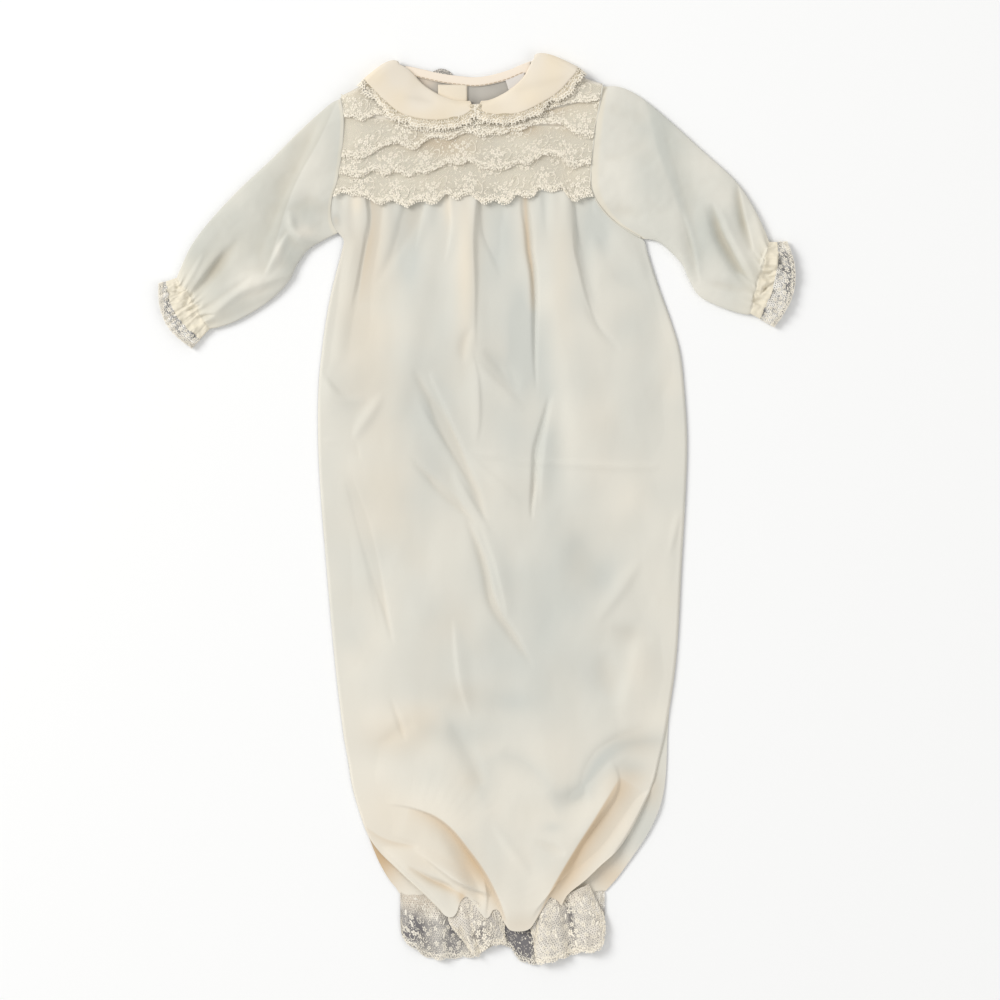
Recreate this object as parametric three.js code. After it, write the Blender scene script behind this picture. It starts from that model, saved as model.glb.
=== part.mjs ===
// Christening gown laid flat: gathered skirt, lace yoke, round collar and full sleeves.
// Millimetres. X runs across the chest, Y from the hem to the neck, Z up from the surface below.
import * as THREE from 'three';

const { lerp, smoothstep, clamp } = THREE.MathUtils;

// Walls, and the gaps that sewn or layered pieces keep.
const clothWall = 1.0;
const laceWall = 1.0;
const collarWall = 1.2;
const seamGap = 0.3;
const armholeGap = 0.45;
const underarmGap = { more: 0.7, from: 196, to: 214 };
const layerGap = 0.3;

// Middle height of each layer where the back panel lies on the surface.
const backMid = clothWall / 2;
const trimMid = backMid + clothWall + layerGap;
const frontMid = trimMid + clothWall + layerGap;
const laceMid = frontMid + (clothWall + laceWall) / 2 + layerGap;

// Main lines of the gown.
const yokeSeam = 217;
const backHem = -259;
const frontHem = -274;
const backOpening = -15;

// The yoke lies on the collar's back leaf, so it rises by that much towards the neck.
const yokeRise = { height: collarWall + layerGap, from: 230, to: 254 };

// Sides of the body from the shoulder, past the armholes, down to where front and back part.
const bodySides = [
  { y: 289, left: -87.0, right: 86.0 },
  { y: 265, left: -90.5, right: 82.0 },
  { y: 240, left: -93.0, right: 78.7 },
  { y: 222, left: -95.0, right: 77.8 },
  { y: 211, left: -97.4, right: 80.6 },
  { y: 202, left: -98.4, right: 86.6 },
  { y: 194, left: -97.5, right: 95.0 },
  { y: 188, left: -94.0, right: 105.0 },
  { y: 183, left: -90.0, right: 113.5 },
  { y: 176, left: -91.0, right: 116.0 },
  { y: 149, left: -98.0, right: 125.0 },
  { y: 128, left: -102.0, right: 132.5 },
  { y: 108, left: -104.7, right: 138.5 },
  { y: 84, left: -107.0, right: 141.4 },
  { y: 50, left: -107.4, right: 143.5 },
  { y: 16, left: -106.0, right: 142.8 },
  { y: -35, left: -102.0, right: 140.0 },
  { y: -103, left: -96.0, right: 136.0 },
];
const backSides = [
  ...bodySides,
  { y: -154, left: -90.0, right: 131.2 },
  { y: -188, left: -84.3, right: 128.5 },
  { y: -205, left: -79.6, right: 124.4 },
  { y: -222, left: -73.4, right: 116.3 },
  { y: -239, left: -66.6, right: 104.7 },
  { y: -252, left: -59.2, right: 95.2 },
  { y: -260, left: -52.5, right: 88.0 },
];
const frontSides = [
  ...bodySides,
  { y: -154, left: -90.0, right: 127.8 },
  { y: -171, left: -87.0, right: 121.7 },
  { y: -188, left: -84.3, right: 115.6 },
  { y: -205, left: -79.6, right: 108.8 },
  { y: -222, left: -73.4, right: 102.0 },
  { y: -234, left: -65.3, right: 95.9 },
  { y: -245, left: -54.2, right: 84.8 },
  { y: -256, left: -42.8, right: 74.1 },
  { y: -266, left: -32.0, right: 62.6 },
  { y: -275, left: -23.0, right: 57.5 },
];

// Neck and shoulder edge of the front and back yoke, from the left armhole to the right one.
const neckEdge = [
  { x: -88, front: 281.8, back: 281.8 },
  { x: -70, front: 290.6, back: 290.6 },
  { x: -54, front: 300.4, back: 300.4 },
  { x: -46, front: 294.6, back: 299.4 },
  { x: -38, front: 286.6, back: 296.6 },
  { x: -24, front: 277.8, back: 294.2 },
  { x: -10, front: 273.4, back: 292.8 },
  { x: 0, front: 272.6, back: 292.6 },
  { x: 10, front: 274.2, back: 294.2 },
  { x: 22, front: 280.8, back: 298.0 },
  { x: 32, front: 290.8, back: 301.6 },
  { x: 40, front: 302.6, back: 303.4 },
  { x: 58, front: 297.0, back: 297.0 },
  { x: 72, front: 291.4, back: 291.4 },
  { x: 85, front: 287.2, back: 287.2 },
];

// Loft of the skirt front between its sides, and where it settles into the yoke seam and the hem.
const skirtLoft = { height: 1.7, run: 40, clear: 0.1, seamFrom: 186 };
const hemRim = { mid: 6.0, from: -226, to: -268, dropFrom: 0.82, curlFrom: 0.955 };

// How far the front hem drops below its line, from its left end to its right end.
const hemDrop = [
  { c: 0, drop: 2 },
  { c: 0.15, drop: 2 },
  { c: 0.3, drop: -8 },
  { c: 0.42, drop: 2 },
  { c: 0.52, drop: 9 },
  { c: 0.64, drop: 13 },
  { c: 0.74, drop: 11 },
  { c: 0.84, drop: 0 },
  { c: 0.93, drop: -9 },
  { c: 1, drop: -3 },
];

// Gathers under the yoke, long folds of the skirt and puffs over the hem, each one a soft ridge.
const skirtFolds = [
  { x: -84, y: 206, toX: -86, toY: 140, high: 3.0, wide: 6 },
  { x: -57, y: 206, toX: -58, toY: 120, high: 3.6, wide: 9 },
  { x: -30, y: 206, toX: -35, toY: 140, high: 2.8, wide: 6 },
  { x: -9, y: 206, toX: -6, toY: 100, high: 5.2, wide: 7 },
  { x: 16, y: 206, toX: 20, toY: 120, high: 2.6, wide: 8 },
  { x: 48, y: 206, toX: 54, toY: 55, high: 5.0, wide: 11 },
  { x: 76, y: 206, toX: 112, toY: 94, high: 3.2, wide: 12 },
  { x: -35, y: 88, toX: 16, toY: -22, high: 3.6, wide: 8 },
  { x: 11, y: -24, toX: 49, toY: -117, high: 3.2, wide: 9 },
  { x: -71, y: 20, toX: -53, toY: -98, high: 2.8, wide: 10 },
  { x: 50, y: 50, toX: 55, toY: -36, high: 2.8, wide: 9 },
  { x: 122, y: -60, toX: 82, toY: -130, high: 2.8, wide: 10 },
  { x: -14, y: -88, toX: 2, toY: -148, high: 2.6, wide: 8 },
  { x: 30, y: -140, toX: 30, toY: -330, high: 9.0, wide: 25 },
  { x: -58, y: -190, toX: -12, toY: -284, high: 6.5, wide: 11 },
  { x: -32, y: -214, toX: 8, toY: -280, high: 5.5, wide: 8 },
  { x: 94, y: -172, toX: 54, toY: -276, high: 6.0, wide: 10 },
  { x: 122, y: -168, toX: 62, toY: -282, high: 5.0, wide: 9 },
];

// Lace rows over the yoke: lower edge and upper edge at the left, the middle and the right.
const laceRows = [
  { low: [265, 264, 276], high: [280, 270.5, 285] },
  { low: [240, 252, 252], high: [269, 257.5, 280] },
  { low: [227, 232, 236], high: [244, 256, 256] },
  { low: [213, 208, 213], high: [231, 236, 240] },
];
const scallop = { count: 10, depth: 2.6, ripple: 0.5 };
const laceRide = {
  height: laceWall + layerGap + 0.2, clear: 0.8, run: 3.4, climbAt: 0.4, crestAt: 0.2, overSkirt: 221,
};

// Collar halves from the centre front to the shoulder, then from the shoulder to the back opening.
const collars = {
  left: {
    front: [
      { inX: -1.4, inY: 275.4, outX: -1.4, outY: 272.4 },
      { inX: -6.8, inY: 275.4, outX: -5.0, outY: 268.6 },
      { inX: -14.3, inY: 276.1, outX: -14.3, outY: 265.2 },
      { inX: -24.5, inY: 279.5, outX: -27.0, outY: 263.6 },
      { inX: -35.0, inY: 286.0, outX: -42.0, outY: 265.2 },
      { inX: -44.0, inY: 294.5, outX: -55.0, outY: 271.0 },
      { inX: -51.7, inY: 301.2, outX: -73.5, outY: 288.4 },
    ],
    back: [
      { inX: -51.7, inY: 301.2, outX: -73.5, outY: 288.4 },
      { inX: -42.0, inY: 297.5, outX: -60.0, outY: 275.5 },
      { inX: -31.0, inY: 294.3, outX: -40.0, outY: 267.6 },
      { inX: -16.8, inY: 293.0, outX: -16.8, outY: 266.0 },
    ],
    outward: [-0.52, 0.85],
  },
  right: {
    front: [
      { inX: 1.2, inY: 275.4, outX: 1.2, outY: 272.2 },
      { inX: 8.2, inY: 276.1, outX: 6.5, outY: 269.2 },
      { inX: 15.0, inY: 279.0, outX: 18.0, outY: 267.4 },
      { inX: 22.0, inY: 283.2, outX: 31.0, outY: 269.0 },
      { inX: 29.0, inY: 290.0, outX: 44.0, outY: 275.0 },
      { inX: 34.0, inY: 295.8, outX: 56.0, outY: 282.6 },
      { inX: 38.6, inY: 305.4, outX: 68.0, outY: 295.6 },
    ],
    back: [
      { inX: 38.6, inY: 305.4, outX: 68.0, outY: 295.6 },
      { inX: 26.0, inY: 298.4, outX: 52.0, outY: 277.0 },
      { inX: 10.0, inY: 294.0, outX: 25.0, outY: 268.6 },
      { inX: -13.2, inY: 292.4, outX: -13.2, outY: 266.0 },
    ],
    outward: [0.27, 0.96],
  },
};
const collarMid = { inner: 6.1, outer: 8.9, back: collarWall / 2 };
const collarLace = { width: 7, narrow: 0.6, openBy: 0.2, waves: 13, lift: 1.4, gap: 0.5 };

// Sleeve sections from the armhole to the wrist: upper edge and under edge of the laid sleeve.
const sleeves = {
  left: [
    { topX: -87.9, topY: 281.6, lowX: -94.4, lowY: 187.6 },
    { topX: -100.0, topY: 275.4, lowX: -104.0, lowY: 182.6 },
    { topX: -119.0, topY: 257.7, lowX: -114.2, lowY: 176.1 },
    { topX: -139.4, topY: 237.3, lowX: -121.7, lowY: 165.9 },
    { topX: -161.2, topY: 216.9, lowX: -127.5, lowY: 154.5 },
    { topX: -180.2, topY: 196.5, lowX: -141.0, lowY: 141.0 },
    { topX: -193.1, topY: 179.5, lowX: -161.2, lowY: 128.5 },
    { topX: -200.5, topY: 163.9, lowX: -174.5, lowY: 123.6 },
    { topX: -203.3, topY: 157.1, lowX: -180.9, lowY: 122.4 },
  ],
  right: [
    { topX: 86.0, topY: 287.0, lowX: 112.8, lowY: 183.6 },
    { topX: 98.0, topY: 286.6, lowX: 122.4, lowY: 182.0 },
    { topX: 112.2, topY: 279.5, lowX: 130.6, lowY: 176.1 },
    { topX: 130.6, topY: 264.5, lowX: 140.1, lowY: 165.9 },
    { topX: 152.3, topY: 244.8, lowX: 144.8, lowY: 155.7 },
    { topX: 175.4, topY: 223.7, lowX: 152.3, lowY: 144.2 },
    { topX: 187.5, topY: 206.7, lowX: 169.3, lowY: 136.0 },
    { topX: 196.0, topY: 189.7, lowX: 182.9, lowY: 132.2 },
    { topX: 199.2, topY: 181.5, lowX: 186.5, lowY: 132.6 },
  ],
};
const sleeveFolds = {
  left: [
    { x: -108, y: 262, toX: -132, toY: 168, high: 1.4, wide: 9 },
    { x: -128, y: 226, toX: -178, toY: 140, high: 1.5, wide: 8 },
  ],
  right: [
    { x: 104, y: 268, toX: 134, toY: 180, high: 1.4, wide: 10 },
    { x: 140, y: 236, toX: 186, toY: 146, high: 1.5, wide: 9 },
  ],
};
const sleeveMid = {
  back: clothWall / 2, edge: 1.9, front: 4.3, crown: 0.6, gather: 0.8, gatherFrom: 0.8, gathers: 6,
};

// Cloth ruffle past the wrist's elastic and the lace sewn to it: widths from the upper to the under edge.
const cuffRuffle = { top: 7.5, amid: 14, low: 9.5, flare: 5, flareOver: 20 };
const cuffLace = { top: 4, amid: 10, low: 8, lift: 1.4, gap: 0.5 };

// Lace below the hem: upper edge, lower edge, and how far each ruffle wave lifts its lower edge.
const hemLaceBack = [
  { x: -52.5, low: -284, lift: 3.2 },
  { x: -42, low: -297, lift: 3.4 },
  { x: -25, low: -304, lift: 1.2 },
  { x: -7, low: -302, lift: 1.0 },
  { x: 14, low: -298, lift: 1.0 },
  { x: 38, low: -306, lift: 1.0 },
  { x: 64, low: -301, lift: 1.0 },
  { x: 88, low: -287, lift: 1.2 },
].map((row) => ({ ...row, high: backHem - seamGap }));
const hemLaceFront = [
  { x: -24, high: -273, low: -288, lift: 1.5 },
  { x: -14, high: -271, low: -303, lift: 3.5 },
  { x: 0, high: -266, low: -303, lift: 4.0 },
  { x: 14, high: -277, low: -297, lift: 3.0 },
  { x: 28, high: -282, low: -295, lift: 1.5 },
  { x: 40, high: -277, low: -308, lift: 3.5 },
  { x: 54, high: -265, low: -306, lift: 5.0 },
  { x: 66, high: -267, low: -303, lift: 4.0 },
  { x: 78, high: -260, low: -300, lift: 4.0 },
  { x: 87, high: -268, low: -290, lift: 2.0 },
];
const hemRuffle = {
  back: { waves: 8, highMid: laceWall / 2, lowMid: laceWall / 2 },
  front: { waves: 7, highMid: 4.6, lowMid: 3.4 },
};

// Trim inside the neck.
const facing = { from: -47, to: 33, width: 6.5 };
const placket = { width: 18.5, top: 285.4, bottom: 170 };
const label = { left: 20, right: 33, slant: 4, high: 12 };
const laceEnd = { from: -31, to: -16, low: 295.2, side: 296.7, high: 300.4 };

// Grid steps of each kind of wall, along it and across it.
const steps = {
  skirtLength: 32, frontSkirt: 32, backSkirt: 4,
  yokeHeight: 6, frontYoke: 19, backYokeLeft: 9, backYokeRight: 11,
  scallop: 4, wave: 5, hemLace: 3,
  collarFront: 14, collarRoll: 6, collarBack: 6, collarWidth: 3, edgingWave: 3, edgingWidth: 2,
  sleeveLength: 12, ruffleLength: 2, sleeveRound: 32, cuffLength: 2, cuffRound: 36,
  facing: 18, placket: 14, label: 3, laceEnd: 8,
};

const cream = 0xe8e3d4;
const warmCream = 0xf0e6d3;
const sheer = 0xdcdcd4;
const laceCream = 0xdcd5c6;
const white = 0xf6f5f2;

// Smooth value of a table's column where its key column has the given value.
function valueAt(rows, key, at, column) {
  const last = rows.length - 1;
  const rising = rows[last][key] > rows[0][key];
  const found = rows.findIndex((row) => (rising ? row[key] >= at : row[key] <= at));
  if (found === 0) return rows[0][column];
  if (found < 0) return rows[last][column];
  const [before, low, high, after] = [-2, -1, 0, 1].map((step) => rows[clamp(found + step, 0, last)]);
  const span = high[key] - low[key];
  const slopeLow = (span * (high[column] - before[column])) / (high[key] - before[key]);
  const slopeHigh = (span * (after[column] - low[column])) / (after[key] - low[key]);
  const u = (at - low[key]) / span;
  const bend = u * u * (3 - 2 * u);
  const leave = u * (1 - u) * (1 - u) * slopeLow;
  const arrive = u * u * (u - 1) * slopeHigh;
  return lerp(low[column], high[column], bend) + leave + arrive;
}

// The same, for sections that are spread evenly from 0 to 1.
function sectionAt(rows, part, column) {
  const spread = rows.map((row, i) => ({ part: i / (rows.length - 1), value: row[column] }));
  return valueAt(spread, 'part', clamp(part, 0, 1), 'value');
}

// Height of soft ridges at a point, each fading out towards its ends and to both sides.
function ridgesAt(folds, x, y) {
  return folds.reduce((sum, fold) => {
    const run = new THREE.Vector2(fold.toX - fold.x, fold.toY - fold.y);
    const offset = new THREE.Vector2(x - fold.x, y - fold.y);
    const along = offset.dot(run) / run.lengthSq();
    if (along <= 0 || along >= 1) return sum;
    const aside = offset.cross(run) / run.length() / fold.wide;
    return sum + fold.high * Math.sqrt(Math.sin(Math.PI * along)) * Math.exp(-aside * aside);
  }, 0);
}

// Rows of points, with both counters running from 0 to 1.
function gridOf(rowSteps, columnSteps, pointAt, closed = false) {
  const columns = closed ? columnSteps : columnSteps + 1;
  return Array.from({ length: rowSteps + 1 }, (_, i) =>
    Array.from({ length: columns }, (__, j) => pointAt(i / rowSteps, j / columnSteps)));
}

// Closed wall around a grid of middle points, half its thickness to each side.
function wall(grid, thickness, closed = false) {
  const rows = grid.length;
  const columns = grid[0].length;
  const columnSteps = closed ? columns : columns - 1;
  const wrap = (j) => (closed ? (j + columns) % columns : clamp(j, 0, columns - 1));
  const at = (i, j) => grid[clamp(i, 0, rows - 1)][wrap(j)];
  const positions = [];
  for (const side of [0.5, -0.5]) {
    for (let i = 0; i < rows; i += 1) {
      for (let j = 0; j < columns; j += 1) {
        const across = at(i, j + 1).clone().sub(at(i, j - 1));
        const along = at(i + 1, j).clone().sub(at(i - 1, j));
        const normal = across.cross(along).normalize();
        positions.push(...at(i, j).clone().addScaledVector(normal, side * thickness).toArray());
      }
    }
  }
  const index = [];
  const under = rows * columns;
  const vertex = (i, j) => i * columns + wrap(j);
  const quad = (a, b, c, d) => index.push(a, b, c, a, c, d);
  const rim = (p, q) => quad(q, p, under + p, under + q);
  for (let i = 0; i < rows - 1; i += 1) {
    for (let j = 0; j < columnSteps; j += 1) {
      const corners = [vertex(i, j), vertex(i, j + 1), vertex(i + 1, j + 1), vertex(i + 1, j)];
      quad(...corners);
      quad(...corners.reverse().map((corner) => under + corner));
    }
    if (!closed) {
      rim(vertex(i, columns - 1), vertex(i + 1, columns - 1));
      rim(vertex(i + 1, 0), vertex(i, 0));
    }
  }
  for (let j = 0; j < columnSteps; j += 1) {
    rim(vertex(0, j), vertex(0, j + 1));
    rim(vertex(rows - 1, j + 1), vertex(rows - 1, j));
  }
  const geometry = new THREE.BufferGeometry();
  geometry.setAttribute('position', new THREE.Float32BufferAttribute(positions, 3));
  geometry.setIndex(index);
  geometry.computeVertexNormals();
  return geometry;
}

const point = (x, y, z) => new THREE.Vector3(x, y, z);
const sideAt = (rows, y, side) => valueAt(rows, 'y', y, side);
const riseAt = (y) => yokeRise.height * smoothstep(y, yokeRise.from, yokeRise.to);
const denseEnds = (r) => r - 0.06 * Math.sin(2 * Math.PI * r);

// Skirt back, flat on the surface.
function backSkirt() {
  return wall(gridOf(steps.skirtLength, steps.backSkirt, (r, c) => {
    const y = lerp(yokeSeam - seamGap / 2, backHem, denseEnds(r));
    return point(lerp(sideAt(backSides, y, 'left'), sideAt(backSides, y, 'right'), c), y, backMid);
  }), clothWall);
}

// Skirt front: lofted over the back, gathered at the yoke, and drawn in to a raised hem.
function frontSkirtPoint(r, c) {
  const station = lerp(yokeSeam - seamGap / 2, frontHem, denseEnds(r));
  const left = sideAt(frontSides, station, 'left');
  const right = sideAt(frontSides, station, 'right');
  const x = lerp(left, right, c);
  const y = station - valueAt(hemDrop, 'c', c, 'drop') * smoothstep(r, hemRim.dropFrom, 1);
  const edge = Math.min(x - left, right - x);
  const lowest = backMid + clothWall + layerGap + skirtLoft.clear;
  const loft = skirtLoft.height * smoothstep(edge, 0, skirtLoft.run);
  const laid = lerp(lowest + loft, frontMid, smoothstep(station, skirtLoft.seamFrom, yokeSeam));
  const base = lerp(hemRim.mid, laid, smoothstep(station, hemRim.to, hemRim.from));
  const puff = 1 - smoothstep(r, hemRim.curlFrom, 1);
  return point(x, y, base + puff * ridgesAt(skirtFolds, x, y));
}

// One yoke panel between two of its sides, from the skirt seam up to the neck and shoulders.
function yokePanel(edge, mid, leftAt, rightAt, columns) {
  return wall(gridOf(steps.yokeHeight, columns, (r, c) => {
    const topX = lerp(leftAt(yokeRise.to), rightAt(yokeRise.to), c);
    const y = lerp(yokeSeam + seamGap / 2, valueAt(neckEdge, 'x', topX, edge), r);
    return point(lerp(leftAt(y), rightAt(y), c), y, mid + riseAt(y));
  }), clothWall);
}

// A lace row: flat where it is sewn on, riding over what is below it at its scalloped edge.
function yokeLace(row, i) {
  const across = (levels, c) => {
    const bow = 4 * c * (1 - c);
    return lerp(levels[0], levels[2], c) + bow * (levels[1] - (levels[0] + levels[2]) / 2);
  };
  const next = laceRows[i + 1];
  return wall(gridOf(3, scallop.count * steps.scallop, (t, c) => {
    const lobe = Math.abs(Math.sin(Math.PI * scallop.count * c));
    const high = across(row.high, c);
    const low = across(row.low, c) - scallop.depth * lobe;
    const over = (next ? across(next.high, c) : laceRide.overSkirt) + laceRide.clear;
    const climb = Math.max(over + laceRide.run, lerp(low, high, laceRide.climbAt));
    const crest = Math.max(over, lerp(low, high, laceRide.crestAt));
    const y = [high, climb, crest, low][Math.round(3 * t)];
    const left = sideAt(bodySides, y, 'left') + armholeGap;
    const right = sideAt(bodySides, y, 'right') - armholeGap;
    const ride = laceRide.height * (1 - smoothstep(y, over, over + laceRide.run));
    const z = laceMid + riseAt(y) + ride + scallop.ripple * lobe * t * t;
    return point(lerp(left, right, c), y, z);
  }), laceWall);
}

// Collar surface: front leaf for 0 to 1, the roll over the shoulder to 2, the back leaf to 3.
function collarPoint(collar, along, across, beyond = 0, lift = 0) {
  const rows = along <= 1 ? collar.front : collar.back;
  const part = along <= 1 ? along : Math.max(along - 2, 0);
  const plan = (at, edge) => new THREE.Vector2(
    sectionAt(rows, at, `${edge}X`), sectionAt(rows, at, `${edge}Y`));
  const place = plan(part, 'in').lerp(plan(part, 'out'), across);
  if (beyond) {
    const nearby = 0.02;
    const run = plan(part + nearby, 'out').sub(plan(part - nearby, 'out')).normalize();
    const out = new THREE.Vector2(-run.y, run.x);
    const width = plan(part, 'out').sub(plan(part, 'in'));
    place.addScaledVector(out, out.dot(width) < 0 ? -beyond : beyond);
  }
  const top = lerp(collarMid.inner, collarMid.outer, across) + lift;
  if (along <= 1) return point(place.x, place.y, top);
  const turn = Math.PI * clamp(along - 1, 0, 1);
  const radius = (top - collarMid.back) / 2;
  place.addScaledVector(new THREE.Vector2(...collar.outward), radius * Math.sin(turn));
  return point(place.x, place.y, collarMid.back + radius * (1 + Math.cos(turn)));
}

// Even steps along each run in turn: the first run from 0 to 1, the next one on to 2, and so on.
function runSteps(...counts) {
  return [0, ...counts.flatMap((count, start) =>
    Array.from({ length: count }, (_, i) => start + (i + 1) / count))];
}

function collarHalf(collar) {
  const runs = runSteps(steps.collarFront, steps.collarRoll, steps.collarBack);
  const grid = runs.map((along) => Array.from({ length: steps.collarWidth + 1 },
    (_, i) => collarPoint(collar, along, i / steps.collarWidth)));
  return wall(grid, collarWall);
}

// Gathered edging along the collar's outer edge, waved on the front leaf and flat on the back.
function collarEdging(collar) {
  const front = collarLace.waves * steps.edgingWave;
  const grid = runSteps(front, steps.collarRoll, steps.collarBack).map((along) => {
    const wave = (1 - Math.cos(2 * Math.PI * collarLace.waves * along)) / 2;
    const lift = along < 1 ? collarLace.lift * wave : 0;
    const open = smoothstep(along, 0, collarLace.openBy);
    const width = lerp(collarLace.narrow, collarLace.width, open);
    return Array.from({ length: steps.edgingWidth + 1 }, (_, i) => {
      const t = i / steps.edgingWidth;
      return collarPoint(collar, along, 1, collarLace.gap + width * t, lift * t);
    });
  });
  return wall(grid, laceWall);
}

// End of the collar's back edging, turned up past the back neck.
function edgingEnd() {
  return wall(gridOf(2, steps.laceEnd, (r, c) => {
    const x = lerp(laceEnd.from, laceEnd.to, c);
    const high = lerp(laceEnd.side, laceEnd.high, Math.sin(Math.PI * c));
    return point(x, lerp(laceEnd.low, high, r), laceWall / 2);
  }), laceWall);
}

// Place on the laid sleeve: part of the way to the wrist, and from the upper to the under edge.
function sleevePlan(side, part, across) {
  const rows = sleeves[side];
  const chord = (at) => new THREE.Vector2(
    lerp(sectionAt(rows, at, 'topX'), sectionAt(rows, at, 'lowX'), across),
    lerp(sectionAt(rows, at, 'topY'), sectionAt(rows, at, 'lowY'), across));
  const start = chord(0);
  const under = 1 - smoothstep(start.y, underarmGap.from, underarmGap.to);
  const gap = armholeGap + underarmGap.more * under;
  const bulge = sideAt(bodySides, start.y, side) + (side === 'left' ? -gap : gap) - start.x;
  const place = chord(part);
  place.x += bulge * (1 - part) ** 3;
  return place;
}

// A flattened tube's half turn: across its width, and how far it has left its edges.
function flatTurn(turn) {
  const angle = 2 * Math.PI * turn;
  const full = Math.min(1, 1.25 * Math.abs(Math.sin(angle)) ** 0.6);
  return { across: (1 - Math.cos(angle)) / 2, full, isFront: turn < 0.5 };
}

// Place past the wrist's elastic by a given reach, flaring with it.
function pastWrist(side, across, reach) {
  const wrist = (at) => sleevePlan(side, 1, at);
  const line = wrist(1).sub(wrist(0)).normalize();
  const out = new THREE.Vector2(line.y, -line.x);
  if (out.x * (side === 'left' ? -1 : 1) < 0) out.negate();
  const spread = (cuffRuffle.flare * reach) / cuffRuffle.flareOver;
  return wrist(across).addScaledVector(out, reach).addScaledVector(line, spread * (2 * across - 1));
}

// Width of the ruffle or of its lace from the upper to the under edge.
function cuffWidth({ top, amid, low }, across) {
  return lerp(top, low, across) + (amid - (top + low) / 2) * Math.sin(Math.PI * across);
}

// Height of the gathered tube: waved on its front, flat on its back.
function cuffHeight({ across, full, isFront }, waved) {
  const wave = (1 - Math.cos(2 * Math.PI * sleeveMid.gathers * across)) / 2;
  return lerp(sleeveMid.edge, isFront ? sleeveMid.front + waved * wave : sleeveMid.back, full);
}

// Sleeve: a flattened tube with slanting folds, gathered at the wrist and ruffled past it.
function sleeve(side) {
  const grid = runSteps(steps.sleeveLength, steps.ruffleLength).map((along) =>
    Array.from({ length: steps.sleeveRound }, (_, j) => {
      const tube = flatTurn(j / steps.sleeveRound);
      const part = Math.min(along, 1);
      const past = along - part;
      const place = past > 0
        ? pastWrist(side, tube.across, past * cuffWidth(cuffRuffle, tube.across))
        : sleevePlan(side, part, tube.across);
      const gather = sleeveMid.gather * (smoothstep(part, sleeveMid.gatherFrom, 1) + past);
      const crown = sleeveMid.crown * Math.sin(Math.PI * part);
      const fold = ridgesAt(sleeveFolds[side], place.x, place.y) * (1 - part ** 6);
      const lift = tube.isFront ? (crown + fold) * tube.full : 0;
      return point(place.x, place.y, cuffHeight(tube, -gather) + lift);
    }));
  return wall(grid, clothWall, true);
}

// Lace band along the ruffle's edge.
function cuff(side) {
  return wall(gridOf(steps.cuffLength, steps.cuffRound, (part, turn) => {
    const tube = flatTurn(turn);
    const reach = cuffWidth(cuffRuffle, tube.across) + cuffLace.gap
      + cuffWidth(cuffLace, tube.across) * part;
    const place = pastWrist(side, tube.across, reach);
    return point(place.x, place.y, cuffHeight(tube, cuffLace.lift * part - 2 * sleeveMid.gather));
  }, true), laceWall, true);
}

// Lace ruffle below the hem, its waves growing towards the lower edge.
function hemLace(rows, { waves, highMid, lowMid }) {
  return wall(gridOf(steps.hemLace, waves * steps.wave, (t, c) => {
    const x = lerp(rows[0].x, rows[rows.length - 1].x, c);
    const wave = (1 - Math.cos(2 * Math.PI * waves * c)) / 2;
    const y = lerp(valueAt(rows, 'x', x, 'high'), valueAt(rows, 'x', x, 'low'), t);
    const flare = (c - 0.5) * 2 * wave * t;
    return point(x + flare, y, lerp(highMid, lowMid, t) + valueAt(rows, 'x', x, 'lift') * wave * t);
  }), laceWall);
}

// Facing along the back neck, on the inside of the back yoke.
function neckFacing() {
  return wall(gridOf(1, steps.facing, (r, c) => {
    const x = lerp(facing.from, facing.to, c);
    const y = valueAt(neckEdge, 'x', x, 'back') - facing.width * r;
    return point(x, y, trimMid + riseAt(y));
  }), clothWall);
}

// Strip behind the back opening.
function backPlacket() {
  return wall(gridOf(steps.placket, 2, (r, c) => {
    const y = lerp(placket.top, placket.bottom, r);
    return point(backOpening + placket.width * (c - 0.5), y, trimMid + riseAt(y));
  }), clothWall);
}

// Blank label sewn under the facing.
function neckLabel() {
  return wall(gridOf(2, steps.label, (r, c) => {
    const x = lerp(label.left, label.right, c);
    const top = valueAt(neckEdge, 'x', x, 'back') - facing.width - seamGap;
    return point(x + label.slant * r * (1 - c), top - label.high * r, trimMid + riseAt(top));
  }), clothWall);
}

const gown = new THREE.Group();

function sew(name, geometry, color) {
  const mesh = new THREE.Mesh(geometry, new THREE.MeshStandardMaterial({
    color, roughness: 0.9, metalness: 0, side: THREE.DoubleSide,
  }));
  mesh.name = name;
  gown.add(mesh);
}

const leftSide = (y) => sideAt(bodySides, y, 'left');
const rightSide = (y) => sideAt(bodySides, y, 'right');
const openingLeft = () => backOpening - seamGap / 2;
const openingRight = () => backOpening + seamGap / 2;

sew('back_skirt', backSkirt(), cream);
sew('front_skirt', wall(gridOf(steps.skirtLength, steps.frontSkirt, frontSkirtPoint), clothWall), cream);
sew('back_yoke_left', yokePanel('back', backMid, leftSide, openingLeft, steps.backYokeLeft), sheer);
sew('back_yoke_right', yokePanel('back', backMid, openingRight, rightSide, steps.backYokeRight), sheer);
sew('front_yoke', yokePanel('front', frontMid, leftSide, rightSide, steps.frontYoke), cream);
sew('neck_facing', neckFacing(), warmCream);
sew('back_placket', backPlacket(), warmCream);
sew('neck_label', neckLabel(), white);
laceRows.forEach((row, i) => sew(`yoke_lace_${i + 1}`, yokeLace(row, i), laceCream));
for (const side of ['left', 'right']) {
  sew(`collar_${side}`, collarHalf(collars[side]), warmCream);
  sew(`collar_lace_${side}`, collarEdging(collars[side]), laceCream);
  sew(`sleeve_${side}`, sleeve(side), sheer);
  sew(`cuff_lace_${side}`, cuff(side), laceCream);
}
sew('collar_lace_end', edgingEnd(), laceCream);
sew('hem_lace_back', hemLace(hemLaceBack, hemRuffle.back), laceCream);
sew('hem_lace_front', hemLace(hemLaceFront, hemRuffle.front), laceCream);

export default gown;
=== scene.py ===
import math

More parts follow.
